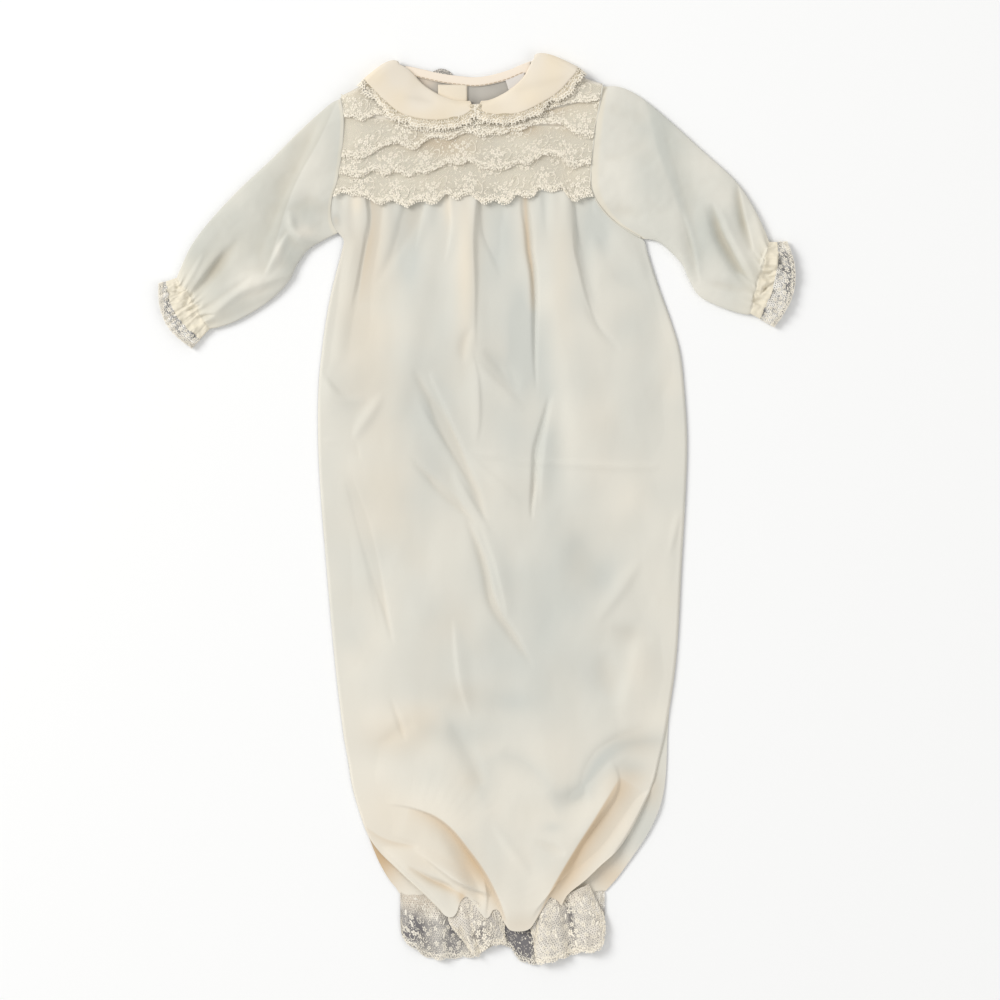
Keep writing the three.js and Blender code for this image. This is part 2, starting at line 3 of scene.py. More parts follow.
import bpy
import numpy as np
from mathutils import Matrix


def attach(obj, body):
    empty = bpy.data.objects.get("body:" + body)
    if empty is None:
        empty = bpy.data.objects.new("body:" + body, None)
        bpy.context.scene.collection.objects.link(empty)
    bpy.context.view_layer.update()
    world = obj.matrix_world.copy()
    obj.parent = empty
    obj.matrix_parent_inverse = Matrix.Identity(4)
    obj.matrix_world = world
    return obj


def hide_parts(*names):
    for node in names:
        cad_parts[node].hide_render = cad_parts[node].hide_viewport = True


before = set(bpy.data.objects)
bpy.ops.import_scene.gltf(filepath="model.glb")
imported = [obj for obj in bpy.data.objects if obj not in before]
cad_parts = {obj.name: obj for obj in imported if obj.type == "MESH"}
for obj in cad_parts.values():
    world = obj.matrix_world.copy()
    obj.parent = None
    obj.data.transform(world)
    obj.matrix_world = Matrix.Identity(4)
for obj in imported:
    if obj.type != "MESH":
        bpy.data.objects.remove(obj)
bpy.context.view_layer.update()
scene = bpy.context.scene
mm = 0.001
uvSpan = 100  # millimetres to a unit of UV
print("frame loaded")


def ramp(x, low, high):
    t = np.clip((x - low) / (high - low), 0, 1)
    return t * t * (3 - 2 * t)


def lerp(a, b, t):
    return a + (b - a) * t


def through(table, at):  # smooth curve through (key, value) rows
    rows = np.array(sorted(table), float)
    keys, values = rows[:, 0], rows[:, 1]
    before = np.maximum(np.arange(len(keys)) - 1, 0)
    after = np.minimum(np.arange(len(keys)) + 1, len(keys) - 1)
    slopes = (values[after] - values[before]) / (keys[after] - keys[before])
    at = np.clip(at, keys[0], keys[-1])
    i = np.clip(np.searchsorted(keys, at) - 1, 0, len(keys) - 2)
    span = keys[i + 1] - keys[i]
    u = (at - keys[i]) / span
    bend = u * u * (3 - 2 * u)
    leave = u * (1 - u) ** 2 * slopes[i] * span
    arrive = u * u * (u - 1) * slopes[i + 1] * span
    return lerp(values[i], values[i + 1], bend) + leave + arrive


def evenly(values, part):  # the same for values spread evenly from 0 to 1
    return through(list(zip(np.linspace(0, 1, len(values)), values)), part)


def pathOf(points, count=28):  # a smooth line through a few points
    points = np.array(points, float)
    steps = np.r_[0, np.cumsum(np.hypot(*np.diff(points, axis=0).T))]
    at = np.linspace(0, steps[-1], count)
    return np.stack([through(list(zip(steps, points[:, k])), at) for k in (0, 1)], 1)


def nearPath(x, y, path):  # signed distance, positive on the left of travel, and part of the way along
    best = np.full(x.shape, 1e9)
    side, along = np.ones(x.shape), np.zeros(x.shape)
    for k, (a, b) in enumerate(zip(path[:-1], path[1:])):
        dx, dy = b - a
        t = np.clip(((x - a[0]) * dx + (y - a[1]) * dy) / (dx * dx + dy * dy), 0, 1)
        ex, ey = x - a[0] - t * dx, y - a[1] - t * dy
        d = ex * ex + ey * ey
        closer = d < best
        best = np.where(closer, d, best)
        side = np.where(closer, np.sign(dx * ey - dy * ex), side)
        along = np.where(closer, (k + t) / (len(path) - 1), along)
    return side * np.sqrt(best), along


def foldHeights(x, y, folds, peak=0.5):  # folds: path, height, width on its left, width on its right
    power = math.log(0.5) / math.log(peak)
    flatX, flatY = x.ravel(), y.ravel()
    total = np.zeros(flatX.shape)
    for points, high, left, right in folds:
        path = pathOf(points)
        reach = 2.5 * max(left, right)
        low, top = path.min(0) - reach, path.max(0) + reach
        near = (flatX > low[0]) & (flatX < top[0]) & (flatY > low[1]) & (flatY < top[1])
        if not near.any():
            continue
        d, along = nearPath(flatX[near], flatY[near], path)
        ends = np.sin(np.pi * along**power) ** 0.85
        wide = np.where(d > 0, left, right) * (0.5 + 0.5 * ends)
        total[near] += high * ends * np.exp(-((d / wide) ** 2))
    return total.reshape(x.shape)


def besideFolds(x, y, rows):  # rows: path, side of it (1 is left), reach, strength
    total = np.zeros(x.size)
    for points, side, reach, strength in rows:
        d, along = nearPath(x.ravel(), y.ravel(), pathOf(points))
        fading = np.sin(np.pi * along) ** 0.5 * np.exp(-((np.abs(d) / reach) ** 1.4))
        total += strength * fading * ramp(side * d, -0.8, 0.8)
    return total.reshape(x.shape)


def bothSides(rows):  # rows: path, reach, strength
    return [(points, side, reach, strength) for points, reach, strength in rows for side in (-1, 1)]


def cloudy(x, y, size, seed):  # smooth noise from -1 to 1 with features of the given size
    cells = 64
    lattice = np.random.default_rng(seed).uniform(-1, 1, (cells, cells))
    u, v = (k / size + (cells + 1) / 2 for k in (x, y))
    i, j = np.floor(u).astype(int), np.floor(v).astype(int)
    s, t = ramp(u - i, 0, 1), ramp(v - j, 0, 1)
    pick = lambda a, b: lattice[a % cells, b % cells]
    return lerp(lerp(pick(i, j), pick(i + 1, j), s), lerp(pick(i, j + 1), pick(i + 1, j + 1), s), t)


def patches(x, y, spots):  # soft spots: x, y, reach in x, reach in y, strength
    return sum(k * np.exp(-(((x - a) / rx) ** 2) - ((y - b) / ry) ** 2) for a, b, rx, ry, k in spots)


def blurred(z, steps):  # mean over a square of grid points
    for axis in (0, 1):
        wide = [(steps, steps) if k == axis else (0, 0) for k in (0, 1)]
        total = np.cumsum(np.pad(z, wide, mode="edge"), axis=axis)
        total = np.insert(total, 0, 0, axis=axis)
        size = z.shape[axis]
        span = 2 * steps + 1
        z = (np.take(total, range(span, span + size), axis) - np.take(total, range(size), axis)) / span
    return z


def hollows(z, steps, depth):  # 0 on ridges to 1 in valleys
    return np.clip((blurred(blurred(z, steps), steps) - z) / depth, 0, 1)


def downAcross(rows, columns):  # parts of the way down and across a sheet
    return np.meshgrid(np.linspace(0, 1, rows), np.linspace(0, 1, columns), indexing="ij")


def gridFaces(rows, columns, closed=False, start=0):  # closed joins the last column to the first
    i = np.arange(rows - 1)[:, None]
    j = np.arange(columns if closed else columns - 1)[None, :]
    k = (j + 1) % columns
    corners = [i * columns + j, (i + 1) * columns + j, (i + 1) * columns + k, i * columns + k]
    return start + np.stack([np.broadcast_to(c, (rows - 1, j.size)) for c in corners], -1).reshape(-1, 4)


def gridNormals(grid, closed=False):
    if closed:
        across = np.roll(grid, -1, 1) - np.roll(grid, 1, 1)
    else:
        across = np.gradient(grid, axis=1)
    normals = np.cross(np.gradient(grid, axis=0), across)
    return normals / np.maximum(np.linalg.norm(normals, axis=-1, keepdims=True), 1e-9)


def meshPiece(name, points, faces, uv, tint, material):  # points in millimetres
    faces = np.ascontiguousarray(faces, np.int32)
    mesh = bpy.data.meshes.new(name)
    mesh.vertices.add(len(points))
    mesh.vertices.foreach_set("co", (np.asarray(points) * mm).astype(np.float32).ravel())
    mesh.loops.add(faces.size)
    mesh.loops.foreach_set("vertex_index", faces.ravel())
    mesh.polygons.add(len(faces))
    mesh.polygons.foreach_set("loop_start", np.arange(0, faces.size, faces.shape[1], dtype=np.int32))
    mesh.update(calc_edges=True)
    cornerUV = np.asarray(uv)[faces.ravel()].astype(np.float32)
    mesh.uv_layers.new(name="cloth").data.foreach_set("uv", cornerUV.ravel())
    colours = np.ones((len(points), 4), np.float32)
    colours[:, :3] = tint
    mesh.color_attributes.new("tint", "FLOAT_COLOR", "POINT").data.foreach_set("color", colours.ravel())
    mesh.polygons.foreach_set("use_smooth", np.ones(len(faces), bool))
    mesh.materials.append(material)
    mesh.validate()
    obj = bpy.data.objects.new(name, mesh)
    scene.collection.objects.link(obj)
    return obj


def flatUV(grid, closed=False):  # distance over the cloth
    columns = np.concatenate([grid, grid[:, :1]], 1) if closed else grid
    u = np.cumsum(np.linalg.norm(np.diff(columns, axis=1), axis=-1), 1)
    u = np.concatenate([np.zeros((len(grid), 1)), u], 1)[:, : grid.shape[1]]
    v = np.cumsum(np.linalg.norm(np.diff(grid, axis=0), axis=-1), 0)
    v = np.concatenate([np.zeros((1, grid.shape[1])), v], 0)
    middle = u.shape[1] // 2
    return np.stack([u - u[:, middle : middle + 1], v], -1) / uvSpan


def sheetPiece(name, grid, material, tint=(0, 0, 0), thick=0.0, closed=False, uv=None):  # one cloth
    rows, columns = grid.shape[:2]
    uv = flatUV(grid, closed) if uv is None else uv
    tint = np.broadcast_to(np.asarray(tint, float), grid.shape)
    faces = gridFaces(rows, columns, closed)
    if not thick:
        return meshPiece(name, grid.reshape(-1, 3), faces, uv.reshape(-1, 2), tint.reshape(-1, 3), material)
    normals = gridNormals(grid, closed)
    count = rows * columns
    half = normals * thick / 2
    points = np.concatenate([(grid + half).reshape(-1, 3), (grid - half).reshape(-1, 3)])
    index = np.arange(count).reshape(rows, columns)
    rims = [index[0], index[-1][::-1]]
    if closed:
        rims = [np.r_[rim, rim[0]] for rim in rims]
    else:
        rims += [index[::-1, 0], index[:, -1]]
    sides = [np.stack([rim[:-1], rim[1:], rim[1:] + count, rim[:-1] + count], 1) for rim in rims]
    faces = np.concatenate([faces, faces[:, ::-1] + count, *sides])
    double = lambda a, n: np.tile(a.reshape(-1, n), (2, 1))
    return meshPiece(name, points, faces, double(uv, 2), double(tint, 3), material)


def settle(obj, slot, *nodes):  # rides on the gown's one body and stands in for its solids
    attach(obj, "root")
    if nodes:
        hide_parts(*nodes)
    return obj


def linkInto(tree, socket, value):  # a link from a socket, or a plain value
    if isinstance(value, bpy.types.NodeSocket):
        tree.links.new(value, socket)
    else:
        socket.default_value = value


def maths(tree, operation, *values, clamp=False):
    node = tree.nodes.new("ShaderNodeMath")
    node.operation, node.use_clamp = operation, clamp
    for socket, value in zip(node.inputs, values):
        linkInto(tree, socket, value)
    return node.outputs[0]


def mixed(tree, factor, a, b):
    node = tree.nodes.new("ShaderNodeMix")
    node.data_type = "RGBA"
    for socket, value in zip((node.inputs[0], node.inputs[6], node.inputs[7]), (factor, a, b)):
        linkInto(tree, socket, value)
    return node.outputs[2]


def dotted(tree, vector, direction):
    node = tree.nodes.new("ShaderNodeVectorMath")
    node.operation = "DOT_PRODUCT"
    tree.links.new(vector, node.inputs[0])
    node.inputs[1].default_value = direction
    return node.outputs["Value"]


def nodeGroup(name, inputs, outputs):
    group = bpy.data.node_groups.new(name, "ShaderNodeTree")
    for label, kind, value in inputs:
        group.interface.new_socket(label, in_out="INPUT", socket_type=kind).default_value = value
    for label, kind in outputs:
        group.interface.new_socket(label, in_out="OUTPUT", socket_type=kind)
    return group, group.nodes.new("NodeGroupInput").outputs, group.nodes.new("NodeGroupOutput").inputs


def placed(tree, group, **values):
    node = tree.nodes.new("ShaderNodeGroup")
    node.node_tree = group
    for label, value in values.items():
        linkInto(tree, node.inputs[label], value)
    return node.outputs


def colour(red, green, blue):  # from the usual 0 to 255
    channel = lambda c: c / 12.92 if c <= 0.04045 else ((c + 0.055) / 1.055) ** 2.4
    return (*(channel(c / 255) for c in (red, green, blue)), 1)


scalar, shade, vector = "NodeSocketFloat", "NodeSocketColor", "NodeSocketVector"

weaveLook = {"cross": 0.35, "grain": 0.9, "grainScale": 60, "grainDetail": 3, "relief": 0.0004}
weave, ins, outs = nodeGroup(  # crossing threads as a fine relief
    "weave",
    [("UV", vector, (0, 0, 0)), ("Threads", scalar, 160.0), ("Depth", scalar, 0.1)],
    [("Normal", vector), ("Value", scalar)],
)
ways = ((2 * math.pi, 0, 0), (0, 2 * math.pi, 0))
turned = [maths(weave, "MULTIPLY", dotted(weave, ins["UV"], way), ins["Threads"]) for way in ways]
crossed = maths(weave, "MULTIPLY", *(maths(weave, "SINE", turn) for turn in turned))
grain = weave.nodes.new("ShaderNodeTexNoise")
grain.inputs["Scale"].default_value = weaveLook["grainScale"]
grain.inputs["Detail"].default_value = weaveLook["grainDetail"]
weave.links.new(ins["UV"], grain.inputs["Vector"])
crossed = maths(weave, "MULTIPLY", crossed, weaveLook["cross"])
relief = maths(weave, "MULTIPLY_ADD", grain.outputs[0], weaveLook["grain"], crossed)
bump = weave.nodes.new("ShaderNodeBump")
bump.inputs["Distance"].default_value = weaveLook["relief"]
linkInto(weave, bump.inputs["Strength"], ins["Depth"])
linkInto(weave, bump.inputs["Height"], relief)
weave.links.new(bump.outputs["Normal"], outs["Normal"])
weave.links.new(relief, outs["Value"])

grainTone = {"share": 0.05, "start": -0.02, "colour": (0.45, 0.43, 0.38, 1)}
shadedColour, ins, outs = nodeGroup(  # cloth colour with painted light and shade: red of the tint adds the warm shade of hollows, green the shade, blue the cream tone
    "shadedColour",
    [
        ("Tint", shade, (0, 0, 0, 1)),
        ("Light", shade, (1, 1, 1, 1)),
        ("Cool", shade, (1, 1, 1, 1)),
        ("Hollow", shade, (1, 1, 1, 1)),
        ("Cream", shade, (1, 1, 1, 1)),
        ("Creamy", scalar, 0.0),
        ("Grain", scalar, 0.0),
    ],
    [("Color", shade)],
)
parts = shadedColour.nodes.new("ShaderNodeSeparateColor")
shadedColour.links.new(ins["Tint"], parts.inputs[0])
base = mixed(shadedColour, parts.outputs[1], ins["Light"], ins["Cool"])
base = mixed(shadedColour, parts.outputs[0], base, ins["Hollow"])
base = mixed(shadedColour, maths(shadedColour, "MULTIPLY", parts.outputs[2], ins["Creamy"]), base, ins["Cream"])
grey = maths(shadedColour, "MULTIPLY_ADD", ins["Grain"], grainTone["share"], grainTone["start"], clamp=True)
shadedColour.links.new(mixed(shadedColour, grey, base, grainTone["colour"]), outs["Color"])

tulle, ins, outs = nodeGroup(  # six-sided net: 1 on its threads and 0 in its holes
    "tulle",
    [("UV", vector, (0, 0, 0)), ("Thread", scalar, -0.1), ("Cell", scalar, 1.05)],
    [("Mask", scalar)],
)
ways = [math.radians(a) for a in (90, 210, 330)]
turnsPer = uvSpan * 4 * math.pi / math.sqrt(3)  # for cells of 1 mm
holeEdge = 1.6  # how sharply a thread ends
turned = [dotted(tulle, ins["UV"], (turnsPer * math.cos(a), turnsPer * math.sin(a), 0)) for a in ways]
waves = [maths(tulle, "COSINE", maths(tulle, "DIVIDE", turn, ins["Cell"])) for turn in turned]
total = maths(tulle, "ADD", maths(tulle, "ADD", waves[0], waves[1]), waves[2])
holes = maths(tulle, "MULTIPLY", maths(tulle, "SUBTRACT", total, ins["Thread"]), holeEdge, clamp=True)
tulle.links.new(maths(tulle, "SUBTRACT", 1.0, holes), outs["Mask"])


def blank(name):
    material = bpy.data.materials.new(name)
    material.use_nodes = True
    tree = material.node_tree
    shader = tree.nodes["Principled BSDF"]
    uv = tree.nodes.new("ShaderNodeUVMap")
    uv.uv_map = "cloth"
    tint = tree.nodes.new("ShaderNodeAttribute")
    tint.attribute_name = "tint"
    return material, tree, shader, uv.outputs["UV"], tint.outputs["Color"]


clothTones = {  # in the light, in painted shade, in the painted warm shade of hollows, and in creamy patches where a cloth has them
    "skirtCloth": [(240, 233, 218), (207, 208, 200), (210, 182, 144), (236, 224, 203)],
    "sheerCloth": [(231, 227, 215), (204, 205, 196), (188, 178, 156), (234, 225, 204)],
    "collarCloth": [(239, 229, 212), (227, 217, 200), (234, 217, 186)],
    "facingCloth": [(246, 234, 218), (240, 228, 212), (232, 210, 178)],
    "liningCloth": [(242, 234, 218), (238, 234, 224), (220, 204, 176)],
    # the inside of the back yoke, painted dark as cloth in shade
    "shadedInsideCloth": [(190, 185, 176), (174, 170, 162), (160, 150, 138), (224, 208, 188)],
    "labelCloth": [(223, 217, 210), (220, 215, 209), (204, 194, 184)],
    "laceThread": [(254, 246, 229), (238, 235, 227), (214, 196, 166)],
    "seamThread": [(204, 182, 152), (196, 180, 156), (180, 156, 124)],
}
netTones = {  # in the light, where the dark shows through (painted shade), and in the painted warm shade of hollows
    "laceNet": [(241, 234, 215), (126, 123, 122), (214, 190, 156)],
    "edgeNet": [(246, 234, 212), (140, 136, 134), (182, 168, 140)],
    "hemNet": [(235, 229, 218), (122, 119, 120), (214, 190, 156)],
    "denseNet": [(238, 231, 219), (134, 130, 128), (212, 188, 154)],
    "cuffNet": [(246, 243, 236), (124, 124, 126), (206, 190, 164)],
}
clothFinish = {"threads": 160.0, "roughness": 0.82, "sheenRoughness": 0.5, "specular": 0.25}
netFinish = {"roughness": 0.9, "specular": 0.2}


def clothMaterial(name, sheen=0.25, depth=0.12):
    material, tree, shader, uv, tint = blank(name)
    woven = placed(tree, weave, UV=uv, Threads=clothFinish["threads"], Depth=depth)
    light, cool, hollow, *cream = (colour(*tone) for tone in clothTones[name])
    tones = {"Light": light, "Cool": cool, "Hollow": hollow, "Cream": (cream + [light])[0]}
    toned = placed(tree, shadedColour, Tint=tint, Grain=woven["Value"], Creamy=float(len(cream)), **tones)
    tree.links.new(toned["Color"], shader.inputs["Base Color"])
    tree.links.new(woven["Normal"], shader.inputs["Normal"])
    shader.inputs["Roughness"].default_value = clothFinish["roughness"]
    shader.inputs["Sheen Weight"].default_value = sheen
    shader.inputs["Sheen Roughness"].default_value = clothFinish["sheenRoughness"]
    shader.inputs["Specular IOR Level"].default_value = clothFinish["specular"]
    return material


def netMaterial(name, thread, cell):
    material, tree, shader, uv, tint = blank(name)
    light, cool, hollow = (colour(*tone) for tone in netTones[name])
    toned = placed(tree, shadedColour, Tint=tint, Light=light, Cool=cool, Hollow=hollow)
    tree.links.new(toned["Color"], shader.inputs["Base Color"])
    parts = tree.nodes.new("ShaderNodeSeparateColor")
    tree.links.new(tint, parts.inputs[0])
    netted = placed(tree, tulle, UV=uv, Thread=thread, Cell=cell)["Mask"]
    closed = maths(tree, "MAXIMUM", netted, parts.outputs[2])  # blue of the tint closes the holes
    tree.links.new(closed, shader.inputs["Alpha"])
    shader.inputs["Roughness"].default_value = netFinish["roughness"]
    shader.inputs["Specular IOR Level"].default_value = netFinish["specular"]
    return material


skirtCloth = clothMaterial("skirtCloth")
sheerCloth = clothMaterial("sheerCloth")
collarCloth = clothMaterial("collarCloth", sheen=0.15)
facingCloth = clothMaterial("facingCloth", sheen=0.15)
liningCloth = clothMaterial("liningCloth")
shadedInsideCloth = clothMaterial("shadedInsideCloth")
labelCloth = clothMaterial("labelCloth", sheen=0.1)
laceNet = netMaterial("laceNet", 0.35, 1.05)
edgeNet = netMaterial("edgeNet", 0.3, 1.6)
hemNet = netMaterial("hemNet", 0.3, 1.7)
denseNet = netMaterial("denseNet", 0.7, 1.7)
cuffNet = netMaterial("cuffNet", 0.35, 1.5)
laceThread = clothMaterial("laceThread", depth=0.2)
seamThread = clothMaterial("seamThread")
print("materials made")

bodyRows = [  # y, left edge, right edge from the shoulder to where front and back part
    (289, -92, 86), (279, -91.6, 84.4), (265, -89.6, 82), (246, -90.6, 79.3), (222, -94.3, 77.8),
    (211, -97.6, 80.6), (202, -98.4, 86.6), (194, -97.5, 95), (188, -94, 105), (183, -90, 113.5),
    (176, -91, 116), (149, -98, 125), (128, -102, 132.5), (108, -104.7, 138.5), (84, -107, 141.4),
    (50, -107.4, 143.5), (16, -106, 142.8), (-35, -102, 140), (-103, -96, 136),
]
backRows = bodyRows + [
    (-154, -90, 131.2), (-188, -84.3, 128.5), (-205, -79.6, 124.4), (-222, -73.4, 116.3),
    (-239, -66.6, 104.7), (-252, -59.2, 95.2), (-260, -52.5, 88),
]
frontRows = bodyRows + [
    (-154, -90, 128.4), (-171, -87, 124.5), (-188, -84.3, 120), (-205, -79.6, 112.5), (-222, -73.4, 104),
    (-234, -65.3, 95.9), (-245, -54.2, 84.8), (-256, -42.8, 74.1), (-266, -32, 62.6), (-275, -23, 57.5),
]
leftOf = lambda rows, y: through([(row[0], row[1]) for row in rows], y)
rightOf = lambda rows, y: through([(row[0], row[2]) for row in rows], y)
yokeSeam, backHem, frontHem = 217.0, -259.0, -274.0
backLevel, trimLevel, yokeLevel, laceLevel = 0.5, 1.8, 3.1, 4.4
riseAt = lambda y: 1.5 * ramp(y, 230, 254)

neckFront = [
    (-92, 278.8), (-84, 282.6), (-70, 290), (-54, 300.4), (-46, 294.6), (-38, 286.6), (-24, 278.2),
    (-10, 275), (0, 275), (10, 275.6), (22, 281), (32, 290.8), (40, 302.6), (58, 297), (72, 291.4),
    (85, 287.2),
]
neckBack = [
    (-92, 278.8), (-84, 282.6), (-70, 290), (-54, 300.4), (-46, 300.6), (-38, 299), (-24, 295.8),
    (-10, 293.9), (0, 293.2), (10, 294.6), (22, 298), (32, 302.2), (40, 304.2), (58, 297), (72, 291.4),
    (85, 287.2),
]

gatherFolds = [
    ([(-77, 217), (-74, 197), (-77, 180), (-80, 163), (-82, 153), (-86, 134)], 2.6, 1.9, 10),
    ([(-67, 216), (-69, 193), (-72, 176), (-76, 159), (-78, 142)], -2.4, 4.6, 4.6),
    ([(-56, 216), (-60, 183), (-65, 152), (-68, 125)], 1.2, 8, 8),
    ([(-38, 217), (-47, 197), (-52, 183), (-59, 168), (-68, 152)], -2.6, 6, 5),
    ([(-34, 218), (-35, 203), (-37, 191), (-41, 175)], 1.5, 6, 1.3),
    ([(-18, 220), (-16, 195), (-18, 179), (-21, 167)], 1.6, 6, 1.3),
    ([(1, 220), (-1, 200), (-2, 180), (-1, 152), (-1, 129), (-1, 108)], 2.4, 1.9, 10),
    ([(6, 217), (7, 192), (12, 175), (18, 157)], -2.4, 8, 4),
    ([(33, 220), (34, 205), (36, 190), (37, 175), (39, 162), (40, 145), (40, 112), (41, 80)], -4.6, 2, 2.3),
    (
        [(64, 220), (66, 197), (66, 176), (69, 163), (72, 150), (76, 137), (81, 124), (88, 116), (96, 110)],
        2.2,
        1.9,
        14,
    ),
    ([(71, 217), (71, 193), (73, 175), (77, 156), (82, 137)], -2, 7, 5),
    ([(46, 217), (47, 200), (48, 183)], -0.8, 4, 2),
]
skirtFolds = [
    ([(-94, 210), (-88, 183), (-87, 152), (-91, 122), (-95, 96)], 2.4, 8, 8),
    ([(-24, 217), (-30, 183), (-39, 142), (-48, 101), (-53, 61)], 2, 11, 13),
    ([(-10, 224), (-8, 190), (-8, 149), (-5, 112), (-1, 81), (-2, 40), (-5, 6)], 2.6, 14, 13),
    ([(49, 231), (52, 176), (57, 129), (67, 81), (71, 40), (69, -7)], 3.8, 22, 14),
    ([(73, 141), (84, 122), (98, 107)], -0.8, 3, 2.6),
    ([(82, 220), (97, 186), (117, 159)], 1.2, 9, 6),
    ([(84, 195), (90, 168)], -0.8, 6, 5),
    ([(92, 161), (118, 145)], -0.8, 6, 5),
    ([(-3, 108), (-1, 98), (1, 88), (2, 61), (0, 44)], 1, 1.6, 5),
    ([(-3, 124), (-8, 112), (-9, 99)], -1.2, 3, 4),
    ([(-1, 101), (14, 85), (33, 68)], 1.6, 2.6, 7),
    ([(5, 108), (16, 97), (29, 81)], -1.7, 6, 4),
    ([(-112, 101), (-99, 83), (-89, 75), (-75, 75)], 1.7, 2, 6),
    ([(-97, 54), (-87, 47), (-78, 34)], -1, 2, 2.4),
    ([(-63, 78), (-74, 62), (-84, 47)], 1.6, 4, 4),
    ([(-112, 47), (-99, 46), (-89, 46)], 0.9, 2.2, 4),
    ([(-43, 96), (-31, 74), (-20, 54), (-10, 33), (0, 12), (7, -10)], -2.3, 3.2, 4.4),
    ([(-40, 75), (-27, 52), (-14, 32), (-3, 12)], 1.1, 1.4, 6),
    ([(-32, 93), (-20, 69), (-11, 47), (-5, 33)], 1.8, 8, 1.6),
    ([(-16, 27), (-4, 6), (10, -16)], 1.3, 1.7, 4),
    ([(-45, 35), (-24, 14), (-11, 2), (1, -12)], -1.8, 2.4, 3),
    ([(-7, -6), (0, -22), (6, -39), (12, -65), (26, -87), (39, -107)], -2.4, 2.6, 3.8),
    ([(3, -10), (12, -32), (18, -54), (22, -74)], 1.5, 7, 1.8),
    ([(-4, 40), (7, 37), (22, 35)], 0.8, 2, 2.4),
    ([(-5, 37), (10, 22), (30, 6)], 0.9, 2, 3),
    ([(50, 77), (46, 60), (43, 48), (41, 40), (40, 24), (38, 1), (38, -8)], -2.8, 1.7, 2),
    ([(54, 80), (49, 54), (46, 30), (44, 3)], 1.2, 7, 1.8),
    ([(14, 33), (57, 31), (98, 29), (152, 29)], 0.9, 1.8, 2.2),
    ([(57, 3), (74, -24), (91, -62)], -1.3, 14, 12),
    ([(146, 13), (138, -7), (131, -32)], 0.9, 2.4, 3),
    ([(112, -35), (98, -55), (82, -77)], 1.2, 4, 6),
    ([(-85, 22), (-79, 3), (-73, -18), (-69, -35), (-64, -58), (-56, -92)], -1.9, 2, 2.8),
    ([(-92, 24), (-84, -7), (-76, -41), (-67, -82)], 0.9, 3, 9),
    ([(-58, -129), (-53, -142), (-48, -158)], -0.9, 2, 2),
    ([(-15, -74), (-12, -104), (-9, -123), (-3, -142)], 1.3, 6, 2),
    ([(-41, -35), (-35, -75), (-31, -123)], 0.9, 14, 14),
    ([(37, -35), (47, -89), (50, -143)], -0.8, 16, 16),
    ([(-67, -160), (-55, -153), (-42, -143)], -1, 5, 6),
    ([(-18, -146), (-5, -168), (4, -188)], -1.7, 6, 7),
    ([(18, -163), (33, -176), (50, -191)], -1.3, 8, 8),
    ([(114, -77), (109, -109), (99, -145)], 2, 13, 8),
    ([(92, -81), (120, -89)], -0.8, 5, 5),
    ([(87, -96), (94, -133)], -1.5, 9, 9),
]
hemFolds = [
    (
        [(-62, -200), (-45, -202), (-30, -207), (-17, -216), (-6, -229), (7, -247), (16, -265), (24, -290)],
        5.6,
        26,
        1.5,
    ),
    ([(-24, -218), (-14, -232), (-4, -247), (3, -262), (12, -283)], -2.6, 4, 6),
    ([(87, -167), (93, -175), (96, -185), (92, -197), (83, -209), (71, -226)], 2.2, 2.8, 10),
    ([(97, -182), (80, -211), (66, -233), (50, -260), (37, -286)], 2.6, 4.2, 24),
    ([(69, -198), (76, -182), (86, -168), (102, -158), (128, -156)], -2.3, 6, 6),
    ([(52, -195), (64, -197), (76, -191)], -1.3, 7, 7),
    ([(98, -179), (109, -186), (122, -190)], -2, 5, 5),
    ([(99, -191), (88, -210), (76, -229), (61, -252), (50, -269)], -1.6, 5, 5),
    ([(131, -154), (122, -184), (112, -203), (97, -228), (78, -251), (54, -273)], 3.4, 2.2, 7),
    ([(-80, -213), (-63, -224), (-39, -229)], -1.3, 2.6, 4),
    ([(-42, -231), (-24, -244), (-11, -253), (10, -262)], 4.4, 6, 2),
    ([(-46, -242), (-31, -251), (-20, -256), (-7, -264)], -3.2, 1.8, 3),
    ([(5, -250), (7, -262), (6, -278)], 2, 1.2, 4),
    ([(-78, -217), (-48, -243), (-30, -260), (-10, -284)], 2.4, 10, 3.4),
    ([(39, -225), (61, -234)], -1, 3, 4),
    ([(10, -211), (24, -231), (37, -248)], 1, 4, 4),
]
hemDrop = [  # how far the front hem hangs past its level, across the width
    (0, -1.5), (0.03, 1.4), (0.065, 2.9), (0.1, 2.7), (0.135, -0.4), (0.16, -7), (0.21, -10.8),
    (0.25, -8.4), (0.29, -4), (0.34, 1.2), (0.37, 3.4), (0.4, 3.0), (0.43, -1.5), (0.48, -1.2), (0.53, 7.2),
    (0.565, 11.2), (0.6, 12.4), (0.65, 12.7), (0.7, 12.2), (0.745, 10.2), (0.79, 4.6), (0.83, -0.8),
    (0.9, -9.9), (0.93, -10), (0.965, -8.2), (1, -4.8),
]
warmShadeSpots = [  # painted warm shade in the fold valleys: x, y, reach in x, reach in y, strength
    (-80, 185, 14, 26, 0.13), (-72, 110, 22, 40, 0.15), (-62, 20, 26, 44, 0.11), (-8, 150, 9, 60, 0.1),
    (-57, -156, 16, 12, 0.22), (-37, -143, 14, 14, 0.2), (-64, -205, 24, 26, 0.1), (-2, -184, 9, 8, 0.12),
    (-4, -243, 10, 14, 0.15), (-38, -240, 16, 9, 0.12), (-9.5, -264, 3, 5, 0.5), (99, -188, 12, 12, 0.25),
    (112, -160, 16, 8, 0.12), (108, -182, 9, 6, 0.12), (30, -282, 16, 7, 0.15), (40, 196, 10, 20, 0.06),
    (72, -38, 14, 18, 0.12), (104, -85, 12, 8, 0.1), (-11, -126, 16, 10, 0.14), (-60, 60, 16, 20, 0.06),
    (-95, 196, 2.5, 4, 0.2), (-43, 200, 7, 14, 0.14),
]
